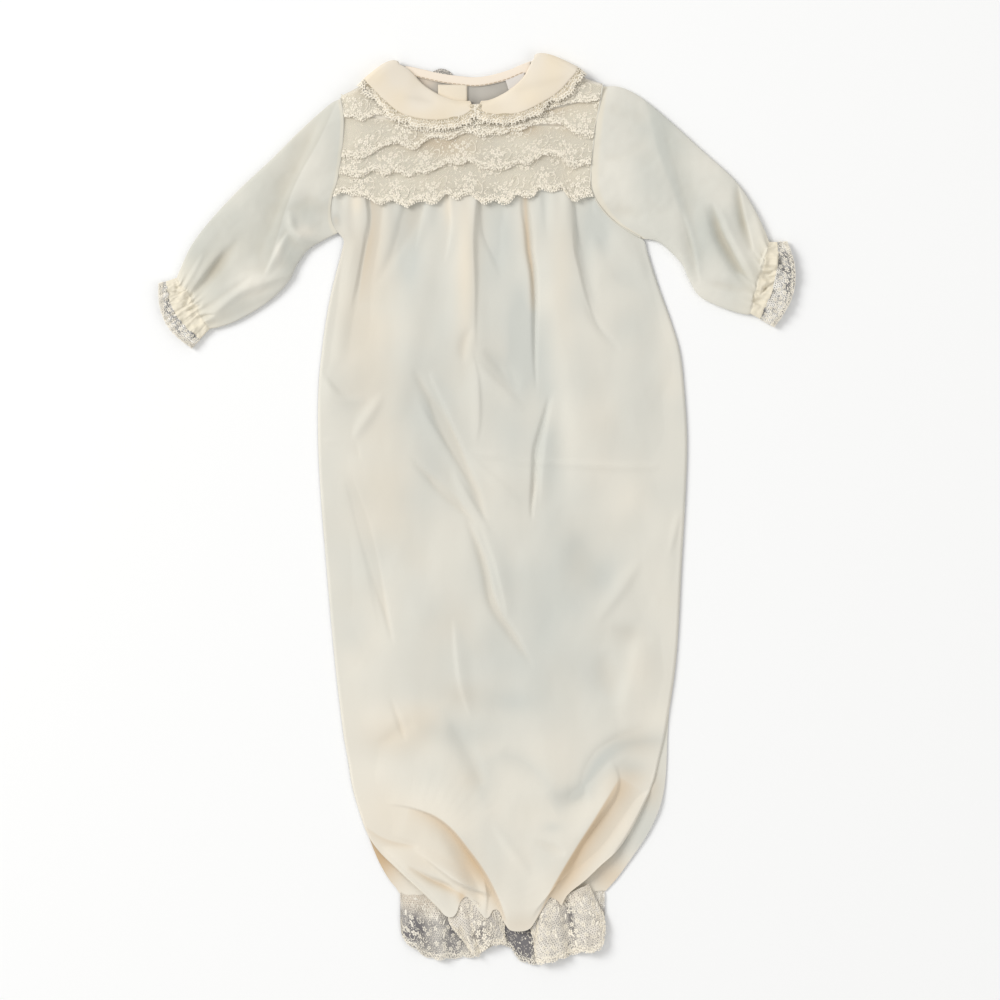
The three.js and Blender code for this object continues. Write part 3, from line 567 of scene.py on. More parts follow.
# painted shade where the cloth lies in shade: x, y, reach in x, reach in y, strength; negative ones paint
# light
shadeSpots = [
    (15, 150, 16, 60, 0.35), (95, 110, 34, 80, -0.08), (72, -42, 20, 26, 0.26), (40, -70, 30, 40, 0.12),
    (-30, 60, 30, 40, 0.16), (60, -120, 40, 40, 0.2), (82, -108, 14, 18, 0.2), (105, -85, 12, 8, 0.15),
    (-40, -6, 15, 18, 0.2), (12, -88, 9, 14, 0.18), (-11, -126, 16, 10, 0.12), (96, 2, 18, 24, -0.25),
    (20, -50, 90, 90, 0.1), (20, -120, 90, 40, 0.08), (30, -232, 30, 22, 0.2), (-95, 196, 2.5, 4, 1),
    (110, -112, 10, 28, -0.3), (22, -131, 18, 9, 0.3), (52, -216, 7, 4, 0.3), (-46, 188, 9, 34, 0.6),
    (20, 190, 8, 26, 0.35), (44, 198, 7, 18, 0.4), (-36, 120, 14, 26, -0.2), (110, 130, 20, 50, 0.1),
    (31, 115, 9, 46, 0.6), (46, 100, 9, 46, 0.3), (83, 197, 8, 14, 0.6), (22, 50, 14, 24, 0.3),
    (49, 28, 10, 44, 0.35), (-44, -56, 12, 36, 0.2), (-4, -152, 30, 11, 0.3), (104, -176, 12, 7, 0.5),
    (-10, -228, 8, 10, 0.3), (132, 105, 10, 46, -0.35), (66, -194, 11, 6, 0.35), (30, 94, 8, 14, 0.3),
    (-31, -150, 9, 8, 0.3),
]
shadeStrokes = bothSides(  # long shadows: path, reach, strength
    [
        ([(52, -204), (66, -196), (76, -184), (84, -172), (98, -161), (132, -156)], 7, 0.75),
        ([(-24, -134), (-12, -156), (-2, -176), (8, -204)], 7, 0.4),
        ([(0, -176), (20, -168), (40, -178), (58, -200)], 7, 0.3),
        ([(-26, -212), (-18, -225), (-4, -243), (9, -260)], 6, 0.5),
    ]
)
# painted creamy glow on the skirt: x, y, reach in x, reach in y, strength
creamGlowSpots = [
    (-7, 165, 6, 46, 0.65), (-19, 206, 3, 12, 0.6), (-81, 208, 5, 8, 0.7), (-74, 125, 18, 40, 0.4),
    (58, 160, 8, 50, 0.3), (-62, 10, 22, 40, 0.25), (-45, -150, 26, 16, 0.3), (-50, -215, 30, 20, 0.3),
]
valleyGlows = [  # light caught beside a fold: path, side of it, reach, strength
    ([(-46, -203), (-30, -207), (-17, -216), (-6, -229), (7, -247), (16, -265), (21, -280)], -1, 9, 0.7),
    ([(98, -182), (80, -211), (66, -233), (50, -260), (40, -280)], 1, 14, 0.85),
    ([(-46, -242), (-31, -251), (-20, -256), (-6, -263)], -1, 4, 0.4),
    ([(-78, -214), (-62, -224), (-42, -229)], -1, 3.5, 0.3),
    ([(33, 230), (34, 200), (35, 186), (36, 175), (38, 162), (39, 134)], -1, 2.2, 0.6),
    ([(33, 230), (34, 200), (35, 186), (36, 175), (38, 162), (39, 134)], 1, 1.6, 0.6),
    ([(-74, 230), (-71, 197), (-74, 180), (-77, 163), (-80, 140)], 1, 13, 0.3),
]
frontSkirtLook = {
    "rows": 330,
    "columns": 290,
    "sideLevel": 1.6,
    "belly": 2.0,
    "hemLevel": 5.0,
    "least": 2.1,
    "pucker": 0.45,
    "ripple": 0.12,
    "swell": 1.0,
    # depth and strength of the painted warm shade in the valleys
    "hollow": 3.2,
    "valleyShade": 0.24,
}


def frontSkirt():
    look = frontSkirtLook
    even = np.linspace(0, 1, look["rows"])
    steps = np.interp(even, (0, 0.58, 1), (0, 0.76, 1))  # closer rows near the hem
    r, c = np.meshgrid(steps, np.linspace(0, 1, look["columns"]), indexing="ij")
    station = lerp(yokeSeam, frontHem, r)
    left, right = leftOf(frontRows, station), rightOf(frontRows, station)
    # inner columns run clear of the armholes
    calm = [row for row in frontRows if row[0] < 180] + [(yokeSeam, -93, 90)]
    calmLeft, calmRight = leftOf(calm, station), rightOf(calm, station)
    x = lerp(calmLeft, calmRight, c) + (left - calmLeft) * (1 - c) ** 8 + (right - calmRight) * c**8
    y = station - through(hemDrop, c) * ramp(r, 0.84, 1)
    edge = np.minimum(x - left, right - x)
    laid = look["sideLevel"] + look["belly"] * ramp(edge, 0, 45)
    laid = lerp(laid, yokeLevel, ramp(station, 186, yokeSeam))
    base = lerp(look["hemLevel"], laid, ramp(station, -266, -222))
    groups = ((gatherFolds, 0.2), (skirtFolds, 0.5), (hemFolds, 0.6))  # and how far along each is highest
    folds = sum(foldHeights(x, y, rows, peak) for rows, peak in groups)
    waves = ((1.6, 3), (2.9, 4), (4.4, 5))
    gathers = sum(np.sin(x / wide + cloudy(x * 0, x, 30, seed) * 3) for wide, seed in waves)
    pucker = look["pucker"] * gathers / 2 * np.exp(-((yokeSeam - 8 - station) / 13).clip(0) ** 1.3)
    ripple = look["ripple"] * (cloudy(x, y * 0.35, 10, 11) + 0.5 * cloudy(x, y * 0.6, 5, 12))
    swell = look["swell"] * (cloudy(x, y * 0.55, 30, 13) + 0.4 * cloudy(x, y * 0.7, 15, 14))
    curl = 1 - 0.75 * ramp(r, 0.97, 1)
    free = ramp(-station, 130, 165) * (c > 0.5)  # the right side hangs loose over the back panel
    loose = np.maximum(free, ramp(station, 176, 198))
    lift = (folds + pucker + ripple + swell) * curl * lerp(ramp(edge, -4, 9), 1, loose)
    rolled = ramp(edge, 0, lerp(1.5, 1.2, free)) ** 0.5  # side folds run down to the back panel
    sewn = np.maximum(ramp(station, 150, 200), ramp(-station, 215, 235))
    z = np.maximum(base + lift, look["least"]) * lerp(rolled, 1, sewn) + 0.35 * (1 - rolled)
    # painted light and shade: warm shade in the valleys and beside folds, grey shade in places, heavier
    # towards the top and lighter at the lower left
    valley = hollows(z, 10, look["hollow"])
    # valleys on the upper right get grey painted shade instead of warm
    grey = np.maximum(ramp(x, 20, 56) * ramp(y, -120, -60), ramp(x, -4, 12) * ramp(y, 30, 60))
    glow = patches(x, y, warmShadeSpots) + besideFolds(x, y, valleyGlows)
    hollow = look["valleyShade"] * valley * (1 - 0.8 * grey) + glow + 0.04 * cloudy(x, y, 24, 23)
    hollow = hollow.clip(0, 1)
    cloud = 0.3 + 0.2 * cloudy(x, y * 0.7, 52, 21) + 0.12 * cloudy(x, y, 19, 22)
    cool = cloud + 0.3 * ramp(y, -170, 60) - 0.18 * ramp(-y, 180, 215) * ramp(-x, -10, 20)
    cool = cool + 0.4 * valley * grey + patches(x, y, shadeSpots) + besideFolds(x, y, shadeStrokes)
    cool = cool.clip(0, 1)
    grid = np.stack([x, y, z], -1)
    # painted creamy glow, kept out of the valleys
    cream = patches(x, y, creamGlowSpots).clip(0, 1) * (1 - hollow)
    obj = sheetPiece("frontSkirt", grid, skirtCloth, np.stack([hollow, cool, cream], -1))
    return settle(obj, "skirt_cloth", "front_skirt")


backSkirtLook = {"rows": 140, "columns": 90, "level": 0.6, "swell": 0.25, "crumple": 0.8, "scallop": 1.6}
# painted warm shade on the back panel beside the front's folds: x, y, reach in x, reach in y, strength
backWarmShades = [(-66, -236, 16, 20, 1.0), (92, -250, 14, 12, 0.45), (118, -190, 8, 12, 0.3)]


def backSkirt():
    look = backSkirtLook
    r, c = downAcross(look["rows"], look["columns"])
    y = lerp(yokeSeam, backHem - 2, r)
    y = y - look["scallop"] * np.sin(7 * np.pi * c + 2 * c * c) * ramp(r, 0.96, 1)
    inset = lerp(2.0, 0.3, ramp(-y, 110, 190))
    x = lerp(leftOf(backRows, y) + inset, rightOf(backRows, y) - inset, c)
    lines = np.cos((x - 0.55 * y) / 5.5) * ramp(x, 60, 90)
    past = np.maximum(x - rightOf(frontRows, y), leftOf(frontRows, y) - x)  # how far beside the front
    crumple = ramp(-y, 150, 200) * ramp(past, -6, 1) * (0.5 + 0.5 * cloudy(x, y, 14, 33) + 0.3 * lines)
    z = look["level"] + look["swell"] * cloudy(x, y * 0.5, 20, 31) + look["crumple"] * crumple
    # painted shade on the back panel, less of it towards the hem
    cool = np.clip(0.55 + 0.3 * cloudy(x, y, 26, 32) - 0.5 * ramp(-y, 225, 262), 0, 1)
    warm = patches(x, y, backWarmShades).clip(0, 1)
    grid = np.stack([x, y, z], -1)
    obj = sheetPiece("backSkirt", grid, skirtCloth, np.stack([warm, cool, cool * 0], -1))
    return settle(obj, "skirt_cloth", "back_skirt")


yokeLook = {"rows": 40, "columns": 90, "middle": 254, "ripple": 0.12, "thick": 0.4}
neckLight = [(-35, 290, 8, 5, 0.7)]  # light that reaches the inside on the left


def yokePanel(name, neck, level, leftAt, rightAt, material, slot, node):
    look = yokeLook
    r, c = downAcross(look["rows"], look["columns"])
    topX = lerp(leftAt(look["middle"]), rightAt(look["middle"]), c)
    y = lerp(yokeSeam, through(neck, topX), r)
    x = lerp(leftAt(y), rightAt(y), c)
    z = level + riseAt(y) + look["ripple"] * cloudy(x, y, 12, 41)
    if level == yokeLevel:  # the shoulder seams close it down onto the back
        closing = ramp(r, 0.95, 1) ** 2 * np.maximum(ramp(-x, 55, 60), ramp(x, 42, 47))
        z = lerp(z, backLevel + 0.3 + riseAt(y), closing)
    grid = np.stack([x, y, z], -1)[::-1]
    cool = np.clip(0.4 + 0.5 * cloudy(x, y, 7, 42), 0, 1)[::-1]
    lit = patches(x, y, neckLight)[::-1]
    obj = sheetPiece(name, grid, material, np.stack([cool * 0.2, cool, lit], -1), thick=look["thick"])
    return settle(obj, slot, node)


skirt = frontSkirt()
backPanel = backSkirt()
bodyLeft, bodyRight = (lambda y: leftOf(bodyRows, y)), (lambda y: rightOf(bodyRows, y))
backOpening, slit = -15.0, 0.2
openingLeft = lambda y: y * 0 + backOpening - slit
openingRight = lambda y: y * 0 + backOpening + slit
yokeFront = yokePanel(
    "frontYoke", neckFront, yokeLevel, bodyLeft, bodyRight, liningCloth, "skirt_cloth", "front_yoke"
)
# the back yokes show their inside, painted in shade
inside = (shadedInsideCloth, "sheer_cloth")
yokeLeft = yokePanel("backYokeLeft", neckBack, backLevel, bodyLeft, openingLeft, *inside, "back_yoke_left")
yokeRight = yokePanel(
    "backYokeRight", neckBack, backLevel, openingRight, bodyRight, *inside, "back_yoke_right"
)
print("skirt and yoke made")


facingLook = {"left": -48, "right": 37, "width": 6.2, "wider": 0.8, "below": 0.5, "crown": 0.6, "thick": 0.5}
placketLook = {"left": -25.8, "right": -5.9, "top": 288.2, "low": 170, "crown": 0.4, "thick": 0.5}
labelLook = {"left": 20, "right": 33, "below": 6.2, "long": 12, "slant": 4, "crown": 0.5, "thick": 0.3}
stitchLook = {"length": 2.2, "gap": 0.9, "hump": 0.25, "radius": 0.2, "below": 5.6}


def facingPiece():
    look = facingLook
    x = np.linspace(look["left"], look["right"], 120)
    top = through(neckBack, x)
    wide = look["width"] + look["wider"] * ramp(x, 10, 34)
    t = np.linspace(0, 1, 10)[:, None]
    y = top - wide * t
    z = trimLevel - look["below"] + riseAt(y) + look["crown"] * t * (1 - t)
    grid = np.stack([x + 0 * y, y, z], -1)
    obj = sheetPiece("neckFacing", grid, facingCloth, (0.1, 0.1, 0), thick=look["thick"])
    return settle(obj, "collar_cloth", "neck_facing")


def placketPiece():
    look = placketLook
    r, c = downAcross(60, 16)
    y = lerp(look["top"], look["low"], r)
    z = trimLevel + riseAt(y) - 0.35 + look["crown"] * np.sin(np.pi * c)
    grid = np.stack([lerp(look["left"], look["right"], c), y, z], -1)
    obj = sheetPiece("backPlacket", grid, collarCloth, (0.3, 0.2, 0), thick=look["thick"])
    return settle(obj, "collar_cloth", "back_placket")


def labelPiece():  # blank
    look = labelLook
    r, c = downAcross(14, 14)
    x = lerp(look["left"], look["right"], c)
    top = through(neckBack, x) - look["below"]
    z = trimLevel + riseAt(top) - 0.2 + look["crown"] * np.sin(np.pi * r)
    grid = np.stack([x + look["slant"] * r * (1 - c), top - look["long"] * r, z], -1)
    obj = sheetPiece("neckLabel", grid, labelCloth, (0.05, 0.3, 0), thick=look["thick"])
    return settle(obj, "label_ribbon", "neck_label")


def threadPiece(name, paths, radius, material, slot, sides=5):  # round threads or piping along paths
    points, faces, count = [], [], 0
    turn = np.linspace(0, 2 * np.pi, sides, endpoint=False)
    for path in paths:
        run = np.gradient(path, axis=0)
        run /= np.maximum(np.linalg.norm(run, axis=1, keepdims=True), 1e-9)
        side = np.cross(run, (0, 0, 1.0))
        side /= np.maximum(np.linalg.norm(side, axis=1, keepdims=True), 1e-9)
        up = np.cross(side, run)
        ring = side[:, None] * np.cos(turn)[:, None] + up[:, None] * np.sin(turn)[:, None]
        points.append((path[:, None] + radius * ring).reshape(-1, 3))
        faces.append(gridFaces(len(path), sides, True, count))
        count += len(path) * sides
    points = np.concatenate(points)
    tint = np.broadcast_to((0.25, 0.3, 0.0), points.shape)
    obj = meshPiece(name, points, np.concatenate(faces), points[:, :2] / uvSpan, tint, material)
    return settle(obj, slot)


def stitches(path):  # little humps of thread along a path
    length, gap, hump = (stitchLook[key] for key in ("length", "gap", "hump"))
    at = np.r_[0, np.cumsum(np.linalg.norm(np.diff(path, axis=0), axis=1))]
    made = []
    for start in np.arange(0, at[-1] - length, length + gap):
        steps = np.linspace(start, start + length, 6)
        line = np.stack([np.interp(steps, at, path[:, k]) for k in range(3)], 1)
        line[:, 2] += hump * (np.sin(np.pi * np.linspace(0, 1, 6)) - 0.4)
        made.append(line)
    return made


facing, placket, label = facingPiece(), placketPiece(), labelPiece()
seamX = np.linspace(-46, 34, 160)
seamY = through(neckBack, seamX) - stitchLook["below"]
seam = stitches(np.stack([seamX, seamY, trimLevel + riseAt(seamY)], 1))
facingStitches = threadPiece("facingStitches", seam, stitchLook["radius"], seamThread, "collar_cloth")
print("neck trim made")

collars = {
    "left": {
        "inner": [
            (-3.4, 275.4), (-7.2, 275.4), (-14.3, 276.1), (-25.6, 280), (-36.6, 287), (-45, 295.6),
            (-51.7, 301.2),
        ],
        "outer": [
            (-2.8, 274.2), (-3.6, 270.6), (-7.6, 267.4), (-14.8, 265.2), (-27, 263.6), (-42, 265.2),
            (-55, 271), (-73.5, 288.4),
        ],
        "backInner": [(-51.7, 301.2), (-42, 297.5), (-31, 294.3), (-16.8, 293)],
        "backOuter": [(-73.5, 288.4), (-60, 275.5), (-40, 267.6), (-16.8, 266)],
        "outward": (-0.52, 0.85),
    },
    "right": {
        "inner": [
            (3, 275.4), (8.2, 276.1), (15, 278.6), (22.8, 282.6), (30.6, 288.8), (36, 296), (39.4, 305.2),
        ],
        "outer": [
            (2.4, 274.2), (3.6, 270.8), (7.6, 268.4), (18, 267.4), (31, 269), (44, 275), (56, 282.6),
            (68, 295.6),
        ],
        "backInner": [(39.4, 305.2), (26, 298.4), (10, 294), (-13.2, 292.4)],
        "backOuter": [(68, 295.6), (52, 277), (25, 268.6), (-13.2, 266)],
        "outward": (0.27, 0.96),
    },
}
collarLook = {
    "inner": 6.1,
    "outer": 8.9,
    "back": 0.6,
    "thick": 1.1,
    "bulge": 0.8,
    "crown": 3.2,
    "roll": 2.8,
}


def planAt(points, part):  # place on an outline, part of the way along
    return np.stack([evenly([p[k] for p in points], part) for k in (0, 1)], -1)


def collarSurface(collar, along, across, beyond=0.0, lift=0.0):  # front to 1, roll to 2, back to 3
    front = along <= 1
    part = np.where(front, along, np.maximum(along - 2, 0))
    pick = lambda a, b, at: np.where(front[..., None], planAt(collar[a], at), planAt(collar[b], at))
    inner, outer = pick("inner", "backInner", part), pick("outer", "backOuter", part)
    ahead, behind = (pick("outer", "backOuter", np.clip(part + step, 0, 1)) for step in (0.02, -0.02))
    run = ahead - behind
    out = np.stack([-run[..., 1], run[..., 0]], -1)
    out /= np.linalg.norm(out, axis=-1, keepdims=True)
    out *= np.sign((out * (outer - inner)).sum(-1, keepdims=True))
    beyond = np.broadcast_to(beyond, across.shape)
    place = inner + (outer - inner) * across[..., None] + out * beyond[..., None]
    top = lerp(collarLook["inner"], collarLook["outer"], across) + lift
    turn = np.pi * np.clip(along - 1, 0, 1)
    radius = (top - collarLook["back"]) / 2
    atShoulder = ramp(along, 0.82, 1) * (1 - ramp(along, 1.3, 2))
    crown = collarLook["crown"] * np.sin(np.pi * across**0.6) * atShoulder
    rolled = np.where(front, 0, radius * np.sin(turn))
    place = place + (crown + rolled)[..., None] * np.array(collar["outward"])
    z = np.where(front, top, collarLook["back"] + radius * (1 + np.cos(turn)))
    return np.concatenate([place, z[..., None]], -1)


# painted shade along soft creases of the collar: path, reach, strength
collarShades = bothSides(
    [
        ([(26, 283), (39, 287), (52, 290), (62, 293)], 3, 0.8),
        ([(-50, 279), (-40, 278), (-28, 275)], 2.4, 0.7),
    ]
)


def collarPiece(side):
    runs = np.r_[np.linspace(0, 1, 90), np.linspace(1, 2, 20)[1:], np.linspace(2, 3, 30)[1:]]
    widths = np.r_[np.linspace(-1, 0, 7)[:-1], np.linspace(0, 1, 26)]
    along, across = np.meshgrid(runs, widths, indexing="ij")
    turn = np.pi / 2 * np.maximum(-across, 0)  # the inner edge rolls down into the neck seam
    across = np.maximum(across, 0)
    bulge = collarLook["bulge"] * np.sin(np.pi * across) ** 0.7 * (along < 1) * ramp(along, 0, 0.2)
    soft = 0.5 * cloudy(along * 60, across * 20, 11, 51) * (along < 1)
    grid = collarSurface(collars[side], along, across, 0.0, bulge + soft)
    inner, outer = (planAt(collars[side][edge], np.minimum(along, 1)) for edge in ("inner", "outer"))
    inward = (inner - outer) / np.linalg.norm(inner - outer, axis=-1, keepdims=True)
    edge = collarLook["roll"] * (along < 1) * ramp(along, 1.02, 0.85)
    grid[..., :2] += inward * (0.5 * edge * np.sin(turn))[..., None]
    grid[..., 2] -= edge * (1 - np.cos(turn))
    if side == "right":
        grid = grid[:, ::-1]
    x, y = grid[..., 0], grid[..., 1]
    # painted shade along the creases, over a tone that differs at random
    cool = np.clip(0.4 + 0.5 * cloudy(x, y, 22, 52) + besideFolds(x, y, collarShades), 0, 1)
    warm = (0.15 + 0.4 * cloudy(x, y, 15, 53)).clip(0)
    tint = np.stack([warm, cool, cool * 0], -1)
    obj = sheetPiece("collar" + side.title(), grid, collarCloth, tint, thick=collarLook["thick"])
    return settle(obj, "collar_cloth", f"collar_{side}")


collarPieces = {side: collarPiece(side) for side in collars}
print("collar made")

sleeves = {  # upper edge and under edge of the laid sleeve, from the armhole to the elastic
    "left": {
        "top": [
            (-92.2, 278.7), (-100, 274.6), (-119, 257.7), (-139.4, 237.3), (-161.2, 216.9), (-180.2, 196.5),
            (-193.1, 179.5), (-200.5, 163.9), (-203.3, 157.1),
        ],
        "low": [
            (-94.4, 187.6), (-104, 182.6), (-114.2, 176.1), (-121.7, 165.9), (-127.5, 154.5), (-141, 141),
            (-161.2, 128.5), (-174.5, 123.6), (-180.9, 122.4),
        ],
    },
    "right": {
        "top": [
            (86, 287), (98, 286.6), (112.2, 279.5), (130.6, 264.5), (152.3, 244.8), (175.4, 223.7),
            (187.5, 206.7), (196, 189.7), (199.2, 181.5),
        ],
        "low": [
            (112.8, 183.6), (122.4, 182), (130.6, 176.1), (140.1, 165.9), (144.8, 155.7), (152.3, 144.2),
            (169.3, 136), (182.9, 132.2), (186.5, 132.6),
        ],
    },
}
leftFolds = [
    ([(-91, 284), (-106, 251), (-120, 226), (-128, 207), (-134, 187), (-143, 158)], 1.2, 18, 6),
    ([(-103, 273), (-122, 234), (-133, 210), (-143, 185), (-150, 168)], -1.6, 5, 13),
    ([(-132, 201), (-112, 207), (-94, 201)], -1.2, 7, 8),
    ([(-127, 203), (-124, 190), (-118, 184), (-105, 179)], 2.4, 4, 3),
    ([(-127, 188), (-134, 175), (-143, 158)], 1.8, 4, 2),
    ([(-122, 160), (-147, 153), (-163, 146), (-177, 134), (-190, 122)], 2.6, 4, 7),
    ([(-160, 184), (-176, 165), (-188, 149), (-197, 137)], -2.2, 6, 4),
    ([(-185, 173), (-197, 150), (-204, 137)], 1.3, 2.4, 2.4),
    ([(-152, 158), (-173, 143), (-190, 130)], -1.5, 3.4, 3),
    ([(-172, 176), (-186, 158), (-198, 143)], 1.8, 2, 4),
    ([(-132, 146), (-157, 134), (-185, 120)], -1.2, 4, 4),
]
rightFolds = [
    ([(117, 286), (123, 244), (132, 218), (141, 188), (154, 143)], 0.7, 5, 20),
    ([(125, 278), (133, 244), (141, 217), (149, 190), (156, 154)], -0.8, 14, 4),
    ([(160, 208), (166, 188), (172, 176), (180, 162), (189, 151)], -3, 2, 6),
    ([(177, 223), (181, 199), (185, 185), (188, 174)], -2.4, 1.4, 4.6),
    ([(165, 205), (175, 182), (186, 162), (192, 149)], 1.5, 4, 2),
    ([(152, 209), (161, 180), (173, 159), (190, 142)], 1.3, 4, 8),
    ([(186, 218), (193, 193), (198, 173)], 1.3, 3.4, 3.4),
    ([(139, 202), (143, 189), (146, 177), (151, 152)], -1.6, 2.2, 5),
    ([(156, 154), (177, 150), (196, 144)], -1.4, 4, 4),
    ([(82, 273), (114, 265)], -0.7, 6, 6),
    ([(86, 207), (116, 198)], -0.9, 6, 6),
    ([(87, 232), (112, 225), (133, 209)], 0.9, 9, 9),
    ([(178, 161), (186, 154), (193, 148)], 1.4, 2, 2),
]
sleeveShades = {  # darker and paler places of the sheer cloth: painted shade, and painted light where the strength is negative
    "left": [
        (-116, 204, 12, 6, 0.35), (-128, 171, 9, 9, 0.3), (-105, 231, 12, 26, -0.2),
        (-151, 153, 14, 9, -0.35), (-117, 188, 7, 4.5, -0.9), (-134, 175, 3.5, 9, -0.6),
    ],
    "right": [
        (104, 240, 18, 40, -0.15), (158, 190, 12, 18, 0.2), (150, 165, 8, 12, 0.2), (172, 195, 8, 14, 0.1),
    ],
}
# painted warm shade in hollows of the sleeves: x, y, reach in x, reach in y, strength
sleeveWarmShades = {
    "left": [(-177, 164, 9, 12, 0.3), (-160, 180, 12, 12, 0.12)],
    "right": [(181, 199, 3, 16, 0.12), (184, 158, 4, 8, 0.1)],
}
foldShadeEdge = [(116, 273), (120, 256), (126, 233), (133, 216), (142, 188)]  # a fold line on the right one, with painted shade beside it
sleeveFolds = {"left": leftFolds, "right": rightFolds}
ruffleFolds = {
    "left": [
        ([(-211, 146), (-205, 147), (-199, 146)], -1.5, 1.2, 1.6),
        ([(-199, 137), (-195, 142), (-192, 147)], -1.6, 2.4, 1),
        ([(-197, 134), (-192, 136), (-186, 139)], -1.5, 1, 2),
        ([(-190, 129), (-184, 131), (-177, 132)], -1.5, 1, 1.8),
        ([(-205, 156), (-203, 151), (-204, 146)], -1.2, 1, 1.4),
        ([(-206, 141), (-200, 140), (-196, 143)], 1.2, 1.6, 1.6),
    ],
    "right": [
        ([(193, 164), (196, 172), (199, 179)], 2.4, 1, 4),
        ([(205, 175), (204, 167), (203, 161)], 2.4, 1, 4),
        ([(193, 162), (198, 160), (205, 163)], -2.4, 1, 2),
        ([(194, 158), (199, 157), (205, 158)], -2, 1, 1.6),
        ([(193, 145), (198, 151), (205, 154)], -2.4, 1.4, 1),
        ([(187, 141), (195, 142), (202, 141)], -2.2, 1.6, 1.6),
    ],
}
sleeveLook = {
    "back": 0.5,
    "edge": 1.9,
    "front": 4.3,
    "least": 1.7,
    "crown": 0.8,
    "gather": 0.9,
    "crumple": 1.1,
    "drawn": 0.8,
    "waver": 1.7,
    "ripple": 0.2,
    "swell": 0.5,
    "fine": 0.3,
    "hollow": 1.8,
    "flare": 0.25,
}
sleeveSeeds = {"left": 60, "right": 70}
outwards = {"left": -1, "right": 1}
ruffleWidths = {"left": (7.5, 14, 9.5), "right": (6, 10.5, 7)}  # at the top, middle and under edge
cuffWidths = {"left": (4.5, 8.5, 7.5), "right": (5.5, 13.5, 10.5)}


def sleevePlan(side, part, across):  # from the armhole to the wrist, and from upper to under edge
    top, low = sleeves[side]["top"], sleeves[side]["low"]
    chord = lambda at: lerp(planAt(top, at), planAt(low, at), across[..., None])
    start = chord(part * 0)
    armhole = bodyLeft(start[..., 1]) if side == "left" else bodyRight(start[..., 1])
    place = chord(part)
    place[..., 0] += (armhole + outwards[side] * 0.2 - start[..., 0]) * (1 - part) ** 3
    return place


def pastWrist(side, across, reach):  # beyond the wrist, where the ruffle and the lace flare
    ends = [sleevePlan(side, np.ones(1), np.full(1, a))[0] for a in (0.0, 1.0)]
    line = (ends[1] - ends[0]) / np.linalg.norm(ends[1] - ends[0])
    out = np.array([line[1], -line[0]])
    out *= np.sign(out[0]) * outwards[side]
    spread = sleeveLook["flare"] * reach * (2 * across - 1)
    return sleevePlan(side, across * 0 + 1, across) + out * reach[..., None] + line * spread[..., None]


def cuffWaves(across, seed):  # uneven little gathers between the cuff's ends
    phase = across * 7 + 0.9 * cloudy(across * 100, across * 0, 17, seed)
    return np.sin(2 * np.pi * phase) * (0.65 + 0.35 * cloudy(across * 100, across * 0, 11, seed + 1))


def widthAt(widths, across):  # widths at the top, middle and under edge
    start, middle, end = widths
    return lerp(start, end, across) + (middle - (start + end) / 2) * np.sin(np.pi * across)


def tubeTurns(front, back):  # once round a flat tube: part across, fullness, which columns are in front
    turn = np.r_[np.linspace(0, 0.5, front, endpoint=False), np.linspace(0.5, 1, back, endpoint=False)]
    angle = 2 * np.pi * turn
    full = np.minimum(1, 1.25 * np.abs(np.sin(angle)) ** 0.6)
    return (1 - np.cos(angle)) / 2, full, turn < 0.5


